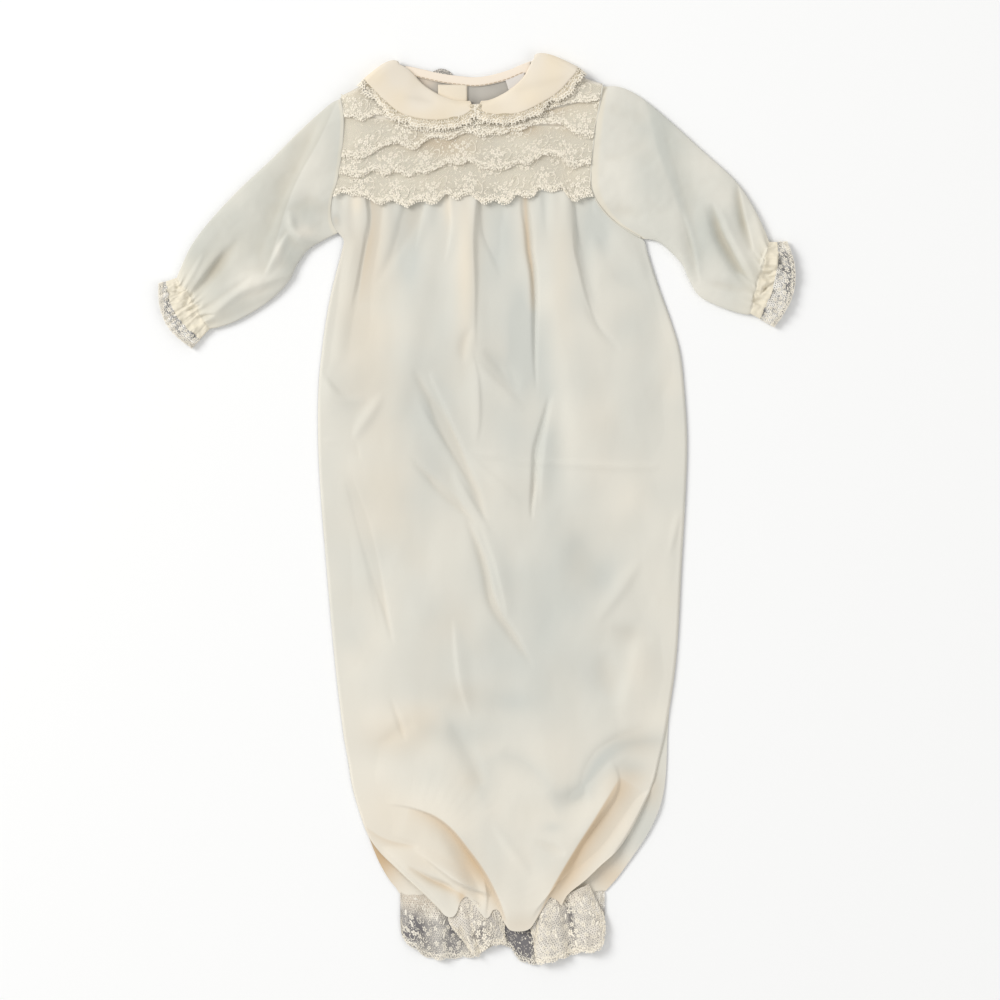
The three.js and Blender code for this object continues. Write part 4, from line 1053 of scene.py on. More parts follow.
def sleevePiece(side):
    look = sleeveLook
    seed = sleeveSeeds[side]
    runs = np.r_[np.linspace(0, 1, 150), np.linspace(1, 2, 26)[1:]]
    across, full, isFront = (np.broadcast_to(a, (len(runs), 200)) for a in tubeTurns(150, 50))
    along = np.broadcast_to(runs[:, None], across.shape)
    part = np.minimum(along, 1)
    past = along - part
    place = sleevePlan(side, part, across)
    beyond = pastWrist(side, across, past * widthAt(ruffleWidths[side], across))
    place = np.where((past > 0)[..., None], beyond, place)
    axis = pastWrist(side, across, across * 0 + 1) - pastWrist(side, across, across * 0)
    atWrist = ramp(along, 0.85, 1) * (1 - ramp(past, 0, 0.8)) * np.sin(np.pi * across)
    waver = look["waver"] * cloudy(across * 100, along * 0, 9, seed + 14) * atWrist
    place = place + axis * waver[..., None]  # the elastic pulls in unevenly
    x, y = place[..., 0], place[..., 1]
    waves = cuffWaves(across, seed)
    drawn = np.exp(-(((along - 1.0 - 0.05 * cloudy(across * 100, along * 0, 7, seed + 8)) / 0.04) ** 2))
    drawn *= 0.6 + 0.4 * cloudy(across * 100, along * 0, 9, seed + 9)
    crumple = ramp(along, 0.92, 1.05) * (cloudy(x, y, 5, seed + 10) + 0.6 * cloudy(x, y, 2.6, seed + 11))
    pleats = waves * (0.8 * ramp(part, 0.8, 0.98) - 0.1 * past) * (1 - 0.5 * drawn)
    gather = look["gather"] * (pleats + look["crumple"] * crumple)
    folds = foldHeights(x, y, sleeveFolds[side]) * (1 - part**8 * 0.3) * (1 - ramp(past, 0.1, 0.8))
    folds = folds + foldHeights(x, y, ruffleFolds[side])
    ripple = look["ripple"] * (cloudy(x, y, 9, seed + 2) + 0.6 * cloudy(x, y, 4, seed + 3))
    swell = look["swell"] * cloudy(x, y, 26, seed + 4)
    fine = look["fine"] * cloudy(across * 260, along * 14, 5, seed + 5) * ramp(along, 0.9, 1)
    seamY = sleevePlan(side, part * 0, across)[..., 1]
    # it meets the yoke at the armhole
    joined = (lerp(-1.3, 0.6, ramp(seamY, 196, 222)) + riseAt(seamY)) * ramp(part, 0.3, 0)
    front = look["front"] + joined + look["crown"] * np.sin(np.pi * part)
    front = front + gather + folds + ripple + swell + fine - look["drawn"] * drawn
    z = lerp(look["edge"], np.where(isFront, np.maximum(front, look["least"]), look["back"]), full)
    # painted light and shade: warm shade in the valleys, shade seen through the sheer cloth
    valley = hollows(np.where(isFront, front, look["front"]), 8, look["hollow"])
    hollow = np.where(isFront, 0.45 * valley, 0.1)
    clouds = 0.3 * cloudy(x, y, 34, seed + 6) + 0.12 * cloudy(x, y, 12, seed + 7)
    cool = 0.5 + clouds + 0.15 * np.sin(np.pi * part)
    if side == "right":  # painted shade in a band beside this fold line
        inner = nearPath(x, y, pathOf(foldShadeEdge))[0]
        cool = cool - 0.15 + 0.35 * ramp(inner, -1.5, 2.5) * (1 - ramp(inner, 8, 34))
    else:
        band = besideFolds(x, y, [(leftFolds[0][0], -1, 15, 0.5)])  # painted shade and warm shade in a band beside its long fold
        cool, hollow = cool + 0.7 * band, hollow + 0.06 + 0.5 * band
    # painted shade in the deepest folds
    deepFolds = [row for row in sleeveFolds[side] if row[1] < -2.2]
    deep = np.clip(-foldHeights(x, y, deepFolds) / 3, 0, 1)
    cool = np.clip(cool + patches(x, y, sleeveShades[side]) + 0.7 * deep, 0, 1)
    hollow = np.clip(hollow + patches(x, y, sleeveWarmShades[side]) + 0.14 * deep, 0, 1)
    seam = (0.6 if side == "right" else 0.4) * ramp(part, 0.045, 0.02)  # its allowance shows through
    ruffle = 0.45 * ramp(along, 0.7, 0.96) + 0.55 * ramp(along, 0.95, 1.05)
    cream = np.where(isFront, np.maximum(ruffle, seam), 0)
    grid = np.stack([x, y, z], -1)
    tint = np.stack([hollow, cool, cream * (1 - hollow)], -1)
    if side == "right":
        grid, tint = grid[:, ::-1], tint[:, ::-1]
    obj = sheetPiece("sleeve" + side.title(), grid, sheerCloth, tint, closed=True)
    return settle(obj, "sheer_cloth", f"sleeve_{side}")


sleevePieces = {side: sleevePiece(side) for side in sleeves}


pipingRuns = {  # top, foot, level at the foot, where it starts to rise
    "left": (278.8, 188.5, 1.9, 207),
    "right": (287.5, 184.5, 2.9, 190),
}
pipingRadius = 0.6


def armholePiping(side):
    top, foot, low, turn = pipingRuns[side]
    y = np.linspace(top, foot, 90)
    x = bodyLeft(y) - 0.3 if side == "left" else bodyRight(y) + 0.3
    z = lerp(low, laceLevel + 0.1, ramp(y, turn, 224)) + riseAt(y)
    path = np.stack([x, y, z], 1)
    return threadPiece("piping" + side.title(), [path], pipingRadius, sheerCloth, "sheer_cloth", 8)


pipings = {side: armholePiping(side) for side in sleeves}
print("sleeves made")


def domeShape(sides, rings):  # a little raised mound: points as x, y, height and triangles
    turn = np.linspace(0, 2 * np.pi, sides, endpoint=False)
    plan = [(math.cos(a) * r, math.sin(a) * r, h) for r, h in rings for a in turn] + [(0, 0, 1)]
    faces = []
    for k in range(sides):
        m = (k + 1) % sides
        for ring in range(len(rings) - 1):
            a, b = ring * sides, (ring + 1) * sides
            faces += [(a + k, a + m, b + m), (a + k, b + m, b + k)]
        last = (len(rings) - 1) * sides
        faces.append((last + k, last + m, len(plan) - 1))
    return np.array(plan), np.array(faces)


moundShape, dotShape = domeShape(8, ((1, 0), (0.62, 0.8))), domeShape(5, ((1, 0),))
posyFlowers = [  # place and size
    (0, 0, 1.0), (3.9, 1.5, 0.9), (-3.8, 1.9, 0.95), (0.4, 4.3, 0.85), (-2.3, -3.6, 0.85), (2.4, -3.4, 0.9),
    (-6.6, -1.4, 0.7),
]
posyBuds = [  # place and angle
    (-7.4, 3.4, 0.9), (-8.8, 0.9, 0.25), (-5.4, 5.2, 1.2), (-5.4, -4.6, -0.7), (6.0, -5.0, -0.4),
    (9.9, 5.4, 0.9), (4.2, 6.0, 0.5),
]


class Motifs:  # raised threadwork in lace coordinates: a along the lace, b up from its free edge
    def __init__(self, seed):
        self.mounds, self.dots, self.cords = [], [], []
        self.rng = np.random.default_rng(seed)

    def mound(self, a, b, ra, rb=None, angle=0.0, high=0.4):
        self.mounds.append((a, b, ra, rb or ra, angle, high))

    def dot(self, a, b, r, high=0.25):
        self.dots.append((a, b, r, r, 0.0, high))

    def cord(self, points, wide=0.7, high=0.35):
        self.cords.append((np.asarray(points, float), wide, high))

    def arc(self, a, b, radius, start, end, wide=0.6):
        turn = np.radians(np.linspace(start, end, 11))
        self.cord(np.stack([a + radius * np.cos(turn), b + radius * np.sin(turn)], 1), wide)

    def flower(self, a, b, size, petals=5):
        turn = self.rng.uniform(0, 1.2)
        for k in range(petals):
            way = turn + 2 * math.pi * k / petals
            out = 1.35 * size
            self.mound(a + out * math.cos(way), b + out * math.sin(way), 0.92 * size, 0.72 * size, way)
        self.dot(a, b, 0.4 * size, 0.5)

    def leaf(self, a, b, size, angle):
        self.mound(a, b, 1.5 * size, 0.55 * size, angle)

    def spray(self, a, b, size):  # a posy with a scroll on one side and buds on the other
        wander = lambda: self.rng.uniform(-0.25, 0.25)
        for da, db, big in posyFlowers:
            self.flower(a + (da + wander()) * size, b + (db + wander()) * size, 0.98 * big * size)
        self.arc(a + 6.0 * size, b + 0.4 * size, 3.8 * size, -95, 100, 0.6 * size)
        self.arc(a + 6.4 * size, b + 2.7 * size, 1.3 * size, 80, 300, 0.5 * size)
        for da, db, angle in posyBuds:
            self.leaf(a + da * size, b + db * size, 0.75 * size, angle + wander())

    def border(self, length, size):
        spread = self.rng.uniform
        for a in np.arange(0.6, length, 0.42 * size):
            b, long, broad = (spread(*span) * size for span in ((-0.2, 2.7), (0.4, 0.75), (0.35, 0.5)))
            self.mound(a, b, long, broad, spread(0, 3), spread(0.25, 0.5))
        for a in np.arange(0.6, length, 1.3 * size):
            self.mound(a, spread(-0.7, -0.2) * size, spread(0.4, 0.6) * size, 0.45 * size)
        for a in np.arange(1.0, length, 2.3 * size):
            self.arc(a, spread(1.2, 1.9) * size, spread(0.8, 1.1) * size, 0, 320, 0.45 * size)
        for a in np.arange(0.6, length, 1.1 * size):
            self.dot(a, spread(2.5, 3.8) * size, spread(0.28, 0.45) * size)

    def scatter(self, length, low, high, step, patchy=None):  # patchy: dots only in clouds of that size
        a, b = (v.ravel() for v in np.meshgrid(np.arange(0, length, step), np.arange(low, high, step)))
        a, b = (v + self.rng.uniform(-0.5, 0.5, v.shape) * step for v in (a, b))
        kept = cloudy(a, b, patchy, 7) > -0.15 if patchy else a == a
        for da, db in zip(a[kept], b[kept]):
            self.dot(da, db, self.rng.uniform(0.22, 0.42))


def onSheet(grid, normals, along, down, closed):  # place and normal at parts of the way
    rows, columns = grid.shape[:2]
    v = down * (rows - 1)
    i = np.clip(np.floor(v).astype(int), 0, rows - 2)
    u = along * (columns if closed else columns - 1)
    j = np.floor(u).astype(int)
    j = j if closed else np.clip(j, 0, columns - 2)
    f, g = (u - j)[..., None], (v - i)[..., None]
    k = (j + 1) % columns
    j = j % columns
    blend = lambda a: lerp(lerp(a[i, j], a[i, k], f), lerp(a[i + 1, j], a[i + 1, k], f), g)
    n = blend(normals)
    return blend(grid), n / np.maximum(np.linalg.norm(n, axis=-1, keepdims=True), 1e-9)


# tint mixes painted shade into the thread colour, more for lace that lies in shade
def motifPiece(name, motifs, grid, length, heightAt, closed=False, lift=0.08, tint=(0.03, 0.1, 0.0)):
    normals = gridNormals(grid, closed)

    def mapped(a, b, h):
        height = np.maximum(heightAt(np.clip(a / length, 0, 1)), 0.5)
        place, normal = onSheet(grid, normals, np.clip(a / length, 0, 1), 1 - b / height, closed)
        return place + normal * (h + lift)[..., None]

    points, faces, count = [], [], 0
    for shapes, (plan, triangles) in ((motifs.mounds, moundShape), (motifs.dots, dotShape)):
        if not shapes:
            continue
        shapes = np.array(shapes)
        room = heightAt(np.clip(shapes[:, 0] / length, 0, 1))
        fits = (shapes[:, 1] + shapes[:, 2] < room) & (shapes[:, 0] > 0.3) & (shapes[:, 0] < length - 0.3)
        shapes = shapes[fits]
        cosine, sine = np.cos(shapes[:, 4:5]), np.sin(shapes[:, 4:5])
        px, py = shapes[:, 2:3] * plan[:, 0], shapes[:, 3:4] * plan[:, 1]
        a, b = shapes[:, 0:1] + px * cosine - py * sine, shapes[:, 1:2] + px * sine + py * cosine
        place = mapped(a, b, shapes[:, 5:6] * plan[:, 2])
        points.append(place.reshape(-1, 3))
        starts = count + len(plan) * np.arange(len(shapes))[:, None, None]
        faces.append((triangles[None] + starts).reshape(-1, 3))
        count += len(plan) * len(shapes)
    for line, wide, high in motifs.cords:
        room = heightAt(np.clip(line[:, 0] / length, 0, 1))
        inside = (line[:, 1] + wide < room) & (line[:, 0] > 0) & (line[:, 0] < length)
        line = line[inside]
        if len(line) < 3:
            continue
        run = np.gradient(line, axis=0)
        side = np.stack([-run[:, 1], run[:, 0]], 1) / np.maximum(np.hypot(*run.T), 1e-9)[:, None]
        section = ((-1, 0), (-0.5, high), (0.5, high), (1, 0))
        strip = [mapped(*(line + side * wide / 2 * k).T, np.full(len(line), h)) for k, h in section]
        points.append(np.stack(strip, 0).reshape(-1, 3))
        quads = gridFaces(4, len(line), start=count)
        faces.append(np.concatenate([quads[:, [0, 1, 2]], quads[:, [0, 2, 3]]]))
        count += 4 * len(line)
    points, faces = np.concatenate(points), np.concatenate(faces)
    tint = np.broadcast_to(tint, points.shape)
    obj = meshPiece(name, points, faces, points[:, :2] / uvSpan, tint, laceThread)
    return settle(obj, "lace")


netWander = {"size": 2.2, "share": 0.004}  # how unevenly the net runs


def laceSheet(name, node, grid, heights, material, tint, closed=False):  # net in the lace's own millimetres
    rows, columns = grid.shape[:2]
    middle = grid[rows // 2]
    around = np.concatenate([middle, middle[:1]]) if closed else middle
    steps = np.r_[0, np.cumsum(np.linalg.norm(np.diff(around, axis=0), axis=-1))]
    length = float(steps[-1])
    part = np.linspace(0, 1, columns + 1 if closed else columns)
    tall = np.r_[heights, heights[:1]] if closed else heights
    heightAt = lambda p: np.interp(p, part, tall)
    t = np.linspace(0, 1, rows)[:, None]
    uv = np.stack([np.broadcast_to(part[:columns] * length, (rows, columns)), t * heights], -1) / uvSpan
    uneven = [cloudy(uv[..., 0] * uvSpan, uv[..., 1] * uvSpan, netWander["size"], seed) for seed in (5, 6)]
    uv += netWander["share"] * np.stack(uneven, -1)
    sheet = sheetPiece(name, grid, material, tint, closed=closed, uv=uv)
    return settle(sheet, "lace", node), length, heightAt


def evenColumns(grid, heights, columns):  # columns at equal steps along the middle of the sheet
    steps = np.r_[0, np.cumsum(np.linalg.norm(np.diff(grid[len(grid) // 2], axis=0), axis=-1))]
    at = np.linspace(0, steps[-1], columns)
    spread = lambda values: np.interp(at, steps, values)
    return np.stack([np.stack([spread(row[:, k]) for k in range(3)], -1) for row in grid]), spread(heights)


laceRows = [  # upper edge at the left, middle and right, then points along the scalloped lower edge
    (
        [281.5, 270.5, 286.5],
        [
            (-87, 266.8), (-84, 264.7), (-80, 264.8), (-75, 267.4), (-71, 268.7), (-64, 266.5), (-55, 262),
            (-44, 258), (-30, 257), (-10, 259), (0, 262), (12, 264), (28, 265), (40, 269), (52, 274),
            (64, 276.8), (74, 277), (84, 280),
        ],
    ),
    (
        [269, 262, 280],
        [
            (-90, 240), (-84, 238.8), (-78, 239.4), (-72, 242.6), (-66.6, 246.3), (-60, 248.5), (-54, 249),
            (-48, 246), (-44, 245), (-40, 247), (-36, 251), (-28, 253.2), (-19, 251.5), (-12, 255.6),
            (-5, 256), (1, 253.4), (9, 255), (17, 255), (23, 258), (29, 257.4), (36, 261), (44, 262.4),
            (57, 262), (62, 259), (67, 255.6), (72, 254.6), (78, 252.4),
        ],
    ),
    (
        [244, 258, 258],
        [
            (-92.4, 228.7), (-86.7, 227.4), (-80, 226), (-74, 228.9), (-69, 230.8), (-62, 227.3),
            (-55, 230), (-51, 228.8), (-44.6, 226.6), (-39, 229.9), (-34.5, 228.6), (-30, 230),
            (-24, 233.1), (-17.5, 235.8), (-11, 234.5), (-4, 236.8), (3.6, 232.3), (11, 231.7), (17, 231),
            (24, 232.3), (30, 235.8), (37, 234.6), (42.6, 238.4), (47.6, 241.2), (55, 240.5), (60, 239),
            (64.6, 234), (70, 232.4), (77, 235.2),
        ],
    ),
    (
        [231, 238, 242],
        [
            (-97, 212.8), (-93, 213.4), (-88, 215.7), (-80.4, 213.8), (-71.6, 212.6), (-66.6, 209.7),
            (-62, 207.6), (-55, 210.3), (-50, 208.4), (-44.6, 205.7), (-39, 208.8), (-34, 209.8),
            (-27.6, 207.6), (-22.6, 210.3), (-18, 214.7), (-11, 210.9), (-3.3, 214.7), (2.3, 210.7),
            (6, 207.7), (13, 210.2), (19, 207.6), (24, 209.2), (29.4, 214), (35, 212.3), (41, 213.6),
            (45.7, 217.8), (54, 215.8), (61, 217.8), (64, 212), (67, 209.5), (71.5, 211.7), (77, 213.2),
        ],
    ),
]
# painted warm shade below the collar: x, y, reach in x, reach in y, strength
yokeLaceWarmShades = [(-22, 248, 22, 9, 0.45), (28, 258, 16, 5, 0.4), (50, 272, 12, 6, 0.35)]
yokeLaceLook = {
    "rows": 26, "columns": 300, "scallops": 34, "depth": 0.5, "ruffle": 0.45, "ride": 0.7, "sprays": 7,
}


def bowed(levels, s):  # a curve from its left, middle and right heights
    return lerp(levels[0], levels[2], s) + 4 * s * (1 - s) * (levels[1] - (levels[0] + levels[2]) / 2)


def yokeLace(number):
    look = yokeLaceLook
    levels, lower = laceRows[number]
    t, s = downAcross(look["rows"], look["columns"])
    lobe = np.abs(np.sin(np.pi * look["scallops"] * (s + 0.01 * number))) ** 0.8
    low = through(lower, lerp(-94, 81, s)) - look["depth"] * lobe
    high = np.maximum(bowed(levels, s), low + 8)
    if number == 0:  # the top row reaches the shoulder seams beside the collar
        across = lerp(-88, 85, s)
        high = lerp(high, np.maximum(high, through(neckFront, across) - 0.4), ramp(np.abs(across), 58, 66))
    y = lerp(high, low, t)
    x = lerp(bodyLeft(y) + 0.1, bodyRight(y) - 0.1, s)
    over = (bowed(laceRows[number + 1][0], s) if number < 3 else 221) + 0.8
    ride = look["ride"] * (1 - ramp(y, over, over + 3.4))
    flutter = look["ruffle"] * t**2 * (0.5 + 0.5 * cloudy(x, x * 0, 12, 80 + number)) + 0.4 * lobe * t**2
    grid = np.stack([x, y, laceLevel + riseAt(y) + ride + flutter], -1)
    # painted warm shade along the top of each row, under the row above
    shade = 0.12 * (1 - ramp(t, 0.0, 0.5)) + 0.08 * cloudy(x, y, 14, 84 + number)
    shade = shade + patches(x, y, yokeLaceWarmShades)
    cool = 0.12 + 0.1 * cloudy(x, y, 20, 88 + number)
    tint = np.stack([shade, cool, 0 * t], -1).clip(0, 1)
    name = f"yokeLace{number + 1}"
    node, tall = f"yoke_lace_{number + 1}", (high - low)[0]
    sheet, length, heightAt = laceSheet(name, node, grid, tall, laceNet, tint)
    motifs = Motifs(90 + number)
    spread = motifs.rng.uniform
    motifs.border(length, 1.3)
    pitch = length / look["sprays"]
    for k in range(look["sprays"]):
        middle = (k + 0.35 + 0.3 * (number % 2)) * pitch
        motifs.spray(middle, 9 + spread(-0.5, 0.5), 1.0)
        motifs.spray(middle + pitch / 2, 22.5 + spread(-0.5, 0.5), 0.95)
        for step in range(5):
            motifs.leaf(middle + pitch / 2 + spread(-5, 5), 6 + 1.6 * step, 0.8, spread(0, 3))
    motifs.scatter(length, 4.0, 30, 2.8)
    return sheet, motifPiece(name + "Motifs", motifs, grid, length, heightAt)


yokeLaces = [yokeLace(k) for k in range(4)]
print("yoke lace made")

collarLaceLook = {"width": 6.2, "waves": 8, "lift": 1.2, "picots": 33}
collarTucks = [(49, 0, 3, 1, 0.7), (28, 0, 2, 1, 0.25), (-44, 0, 2.2, 1, 0.5), (-66, 0, 2.4, 1, 0.25)]


def collarLace(side):
    look = collarLaceLook
    runs = np.r_[np.linspace(0, 1, 260), np.linspace(1, 2, 20)[1:], np.linspace(2, 3, 50)[1:]]
    t, along = np.meshgrid(np.linspace(0, 1, 14), runs, indexing="ij")
    phase = look["waves"] * along + 0.5 * cloudy(along * 100, along * 0, 17, 101)
    wave = 0.5 - 0.5 * np.cos(2 * np.pi * phase)
    uneven = 0.65 + 0.5 * cloudy(along * 100, along * 0, 11, 102)
    width = lerp(4.2, look["width"] - 1.4 + 2.0 * uneven + 0.7 * wave, ramp(along, 0, 0.2))
    width = width + 1.3 * np.abs(np.sin(np.pi * look["picots"] * along)) ** 0.7 - 0.6
    edge = collarSurface(collars[side], along, along * 0 + 1)[..., 0]
    tucks = patches(edge, edge * 0, collarTucks)
    width = width * (1 - tucks * (along < 1))  # gathers that fold the lace under
    flare = look["lift"] * wave * uneven * np.sin(0.5 * np.pi * t) - 0.9 * t * t
    lift = np.where(along < 1, flare, 0) + 0.35
    grid = collarSurface(collars[side], along, along * 0 + 1, width * t - 0.9, lift)
    sway = 1.5 * t * np.sin(2 * np.pi * look["waves"] * along) * (along < 1)
    grid[..., 0] += sway
    if side == "left":
        grid, width = grid[:, ::-1], width[:, ::-1]
    grid, heights = evenColumns(grid, width[0], 420)
    t = t[:, :1]
    # painted shade where the lace runs past the shoulders, and painted warm shade in its holes near the
    # collar; blue closes the holes
    cool = 0.9 * ramp(np.abs(grid[..., 0]), 67, 74)
    name = "collarLace" + side.title()
    hollow = 0.8 - 0.75 * t + 0.3 * cloudy(grid[..., 0], grid[..., 1], 3, 103)
    tint = np.stack([hollow, cool, 0 * cool + 0.85], -1).clip(0, 1)
    sheet, length, heightAt = laceSheet(name, f"collar_lace_{side}", grid, heights, edgeNet, tint)
    motifs = Motifs(110)
    spread = motifs.rng.uniform
    for a in np.arange(0.8, length, 1.9):
        motifs.leaf(a, spread(-0.7, -0.1), 0.75, 1.57 + spread(-0.5, 0.5))  # points of the fringe
        motifs.arc(a + 0.9, spread(0.9, 1.4), 0.95, spread(0, 90), spread(300, 380), 0.75)
        motifs.mound(a + 0.4, spread(1.6, 2.3), 0.9, 0.5, spread(-0.3, 0.3))
    for a in np.arange(1.4, length, 4.6):
        motifs.flower(a, spread(3.8, 4.6), 0.5)
        motifs.arc(a + 2.4, spread(3.4, 4.2), 1.0, spread(0, 90), spread(250, 380), 0.55)
        motifs.leaf(a + 2.2, spread(5.4, 6.2), 0.6, spread(0, 3))
    return sheet, motifPiece(name + "Motifs", motifs, grid, length, heightAt, tint=(0.05, 0.05, 0.0))


collarLaces = {side: collarLace(side) for side in collars}

# painted shade on the cuff lace: x, y, reach in x, reach in y, strength; a negative one lightens
cuffShades = [
    (214, 163, 3, 6, 0.5), (212, 149, 3, 6, 0.5), (208, 140, 4, 3, 0.3), (213, 156, 3.5, 16, 0.45),
    (202, 148, 5, 18, -0.5),
]
cuffLook = {"rows": 14, "inFront": 220, "behind": 100, "crumple": 0.7, "least": 1.4}


def cuffLace(side):
    look = cuffLook
    seed = sleeveSeeds[side]
    shape = (look["rows"], look["inFront"] + look["behind"])
    turns = tubeTurns(look["inFront"], look["behind"])
    across, full, isFront = (np.broadcast_to(a, shape) for a in turns)
    t = np.broadcast_to(np.linspace(0, 1, look["rows"])[:, None], shape)
    start, widths = widthAt(ruffleWidths[side], across), widthAt(cuffWidths[side], across)
    place = pastWrist(side, across, start - 0.6 + (widths + 0.4) * t)
    waves = cuffWaves(across, seed)
    crumple = look["crumple"] * cloudy(place[..., 0], place[..., 1], 4.5, seed + 12)
    front = sleeveLook["front"] + sleeveLook["gather"] * waves * (1.4 - 0.5 * t) + crumple + 0.3 * t
    level = np.where(isFront, np.maximum(front, look["least"]), sleeveLook["back"])
    z = lerp(sleeveLook["edge"], level, full)
    grid = np.concatenate([place, z[..., None]], -1)
    if side == "right":
        grid, widths = grid[:, ::-1], widths[:, ::-1]
    name = "cuffLace" + side.title()
    x, y = grid[..., 0], grid[..., 1]
    # painted shade seen through the net, in blotches; blue closes the holes where it lies
    dark = patches(x, y, cuffShades)
    cool = np.clip(0.45 + 0.8 * cloudy(x, y, 3.4, seed + 13) + dark, 0, 1)
    tint = np.stack([0 * cool + 0.05, cool, 0.3 + 0.5 * cool], -1)
    sheet, length, heightAt = laceSheet(name, f"cuff_lace_{side}", grid, widths[0], cuffNet, tint, True)
    motifs = Motifs(120)
    motifs.border(length, 0.8)
    for a in np.arange(2, length, 7.4):
        motifs.flower(a, 5.0, 0.75)
        motifs.flower(a + 3.4, 6.4, 0.6)
        motifs.flower(a + 1.2, 9.2, 0.7)
        motifs.leaf(a + 3.2, 3.8, 0.8, 0.5)
        motifs.leaf(a - 2.2, 7.2, 0.8, 1.0)
    motifs.scatter(length, 2, 13, 1.2, 3.5)
    # its threads get some painted shade
    threads = motifPiece(name + "Motifs", motifs, grid, length, heightAt, True, tint=(0.0, 0.4, 0.0))
    return sheet, threads


cuffLaces = {side: cuffLace(side) for side in sleeves}
print("cuffs made")

hemBack = [  # lower edge of the lace behind: x, y, height of its ruffle
    (-51.5, -280, 2), (-50.5, -289, 2.5), (-41.5, -298.5, 3), (-30.6, -304.6, 1.6), (-11.6, -304, 1),
    (0.7, -302.6, 1), (8.2, -297.2, 1), (19, -295.1, 0.8), (29.9, -306, 0.8), (39.4, -308.2, 0.8),
    (57.1, -304.6, 0.8), (70.7, -299.9, 0.8), (83.6, -297.2, 0.8), (87.5, -286.3, 0.8),
]
hemFront = [  # lace in front: top x, y and height, then bottom x, y and height
    (-19.7, -274, 4.2, -18.4, -280.2, 4), (-16.3, -271.3, 4.2, -9.5, -291.7, 5),
    (-12.2, -267.2, 4.4, -1.4, -301.9, 5.4), (-8.2, -263.2, 4.4, 2.7, -300.6, 3.0),
    (-4.1, -263.8, 4.4, 8.2, -295.1, 5.8), (1.4, -267.2, 4.4, 14.3, -294.4, 4.0),
    (6.8, -271.3, 4.4, 19.7, -293.1, 3.0), (12.2, -271.3, 4.2, 18.4, -282.2, 2.2),
    (21.8, -270, 4, 24.5, -279.5, 2.6), (34, -270, 4, 34, -279.5, 2.6),
    (42.2, -267.9, 4.2, 38.8, -289.7, 3), (44.9, -263.8, 4.4, 41.5, -306, 4.6),
    (49, -260.4, 4.4, 51, -306, 6.2), (53.7, -259.1, 4.4, 58.5, -303.3, 4.8),
    (58.5, -261.8, 3.0, 65.3, -301.2, 1.4), (63.9, -260.4, 4.4, 72.8, -299.2, 5.0),
    (69.4, -257.7, 4.4, 82.3, -298.5, 6), (74.1, -255.7, 4.2, 87.2, -288.3, 4),
    (76.2, -254.3, 3.4, 86.4, -274, 2),
]


def hemMotifs(name, seed, sheet, length, heightAt, grid, tint, bare=(0, 0)):
    motifs = Motifs(seed)
    motifs.border(length, 1.1)
    spread = motifs.rng.uniform
    for tier, b in enumerate(np.arange(6, 48, 4.4)):
        for middle in np.arange(2.5 + 2.3 * (tier % 2), length, 4.6):
            a, up, kind = middle + spread(-1.4, 1.4), b + spread(-1.2, 1.2), spread(0, 1)
            if kind < 0.5:
                motifs.flower(a, up, spread(0.6, 0.95))
            elif kind < 0.68:
                motifs.leaf(a, up, spread(1.1, 1.7), spread(0.6, 2.4))
            elif kind < 0.84:
                motifs.arc(a, up, spread(1.2, 2.0), spread(0, 180), spread(200, 420), 0.55)
    motifs.scatter(length, 3.5, 46, 1.05, 5)
    kept = lambda a, b, share: not bare[0] < a / length < bare[1] or spread(0, 1) < share or b < 2.2
    motifs.mounds = [m for m in motifs.mounds if kept(m[0], m[1], 0.18)]
    motifs.dots = [m for m in motifs.dots if kept(m[0], m[1], 0.4)]
    return sheet, motifPiece(name + "Motifs", motifs, grid, length, heightAt, tint=tint)


# painted shade on the lace behind: x, y, reach in x, reach in y, strength; a negative one lightens
hemBackShades = [
    (24, -292, 14, 16, 0.95), (4, -288, 10, 10, 0.3), (-43, -286, 6, 6, 0.25), (-22, -295, 8, 5, 0.25),
    (84, -268, 6, 10, -0.4),
]
# painted shade on the lace in front: x, y, reach in x, reach in y, strength
hemFrontShades = [
    (2, -291, 5, 6, 0.8), (10, -284, 9, 8, 0.25), (-4, -280, 12, 14, 0.1), (60, -270, 2.4, 6, 0.7),
    (62, -280, 2.4, 7, 0.8), (64, -290, 2.4, 7, 0.6),
]
hemBackLook = {"left": -51.5, "right": 87.5, "lobes": 13, "scallop": 1.6, "waves": 7, "ridge": 2.2}
hemFrontLook = {"columns": 420, "lobes": 17, "scallop": 1.4, "crimps": 11, "crimp": 0.35}


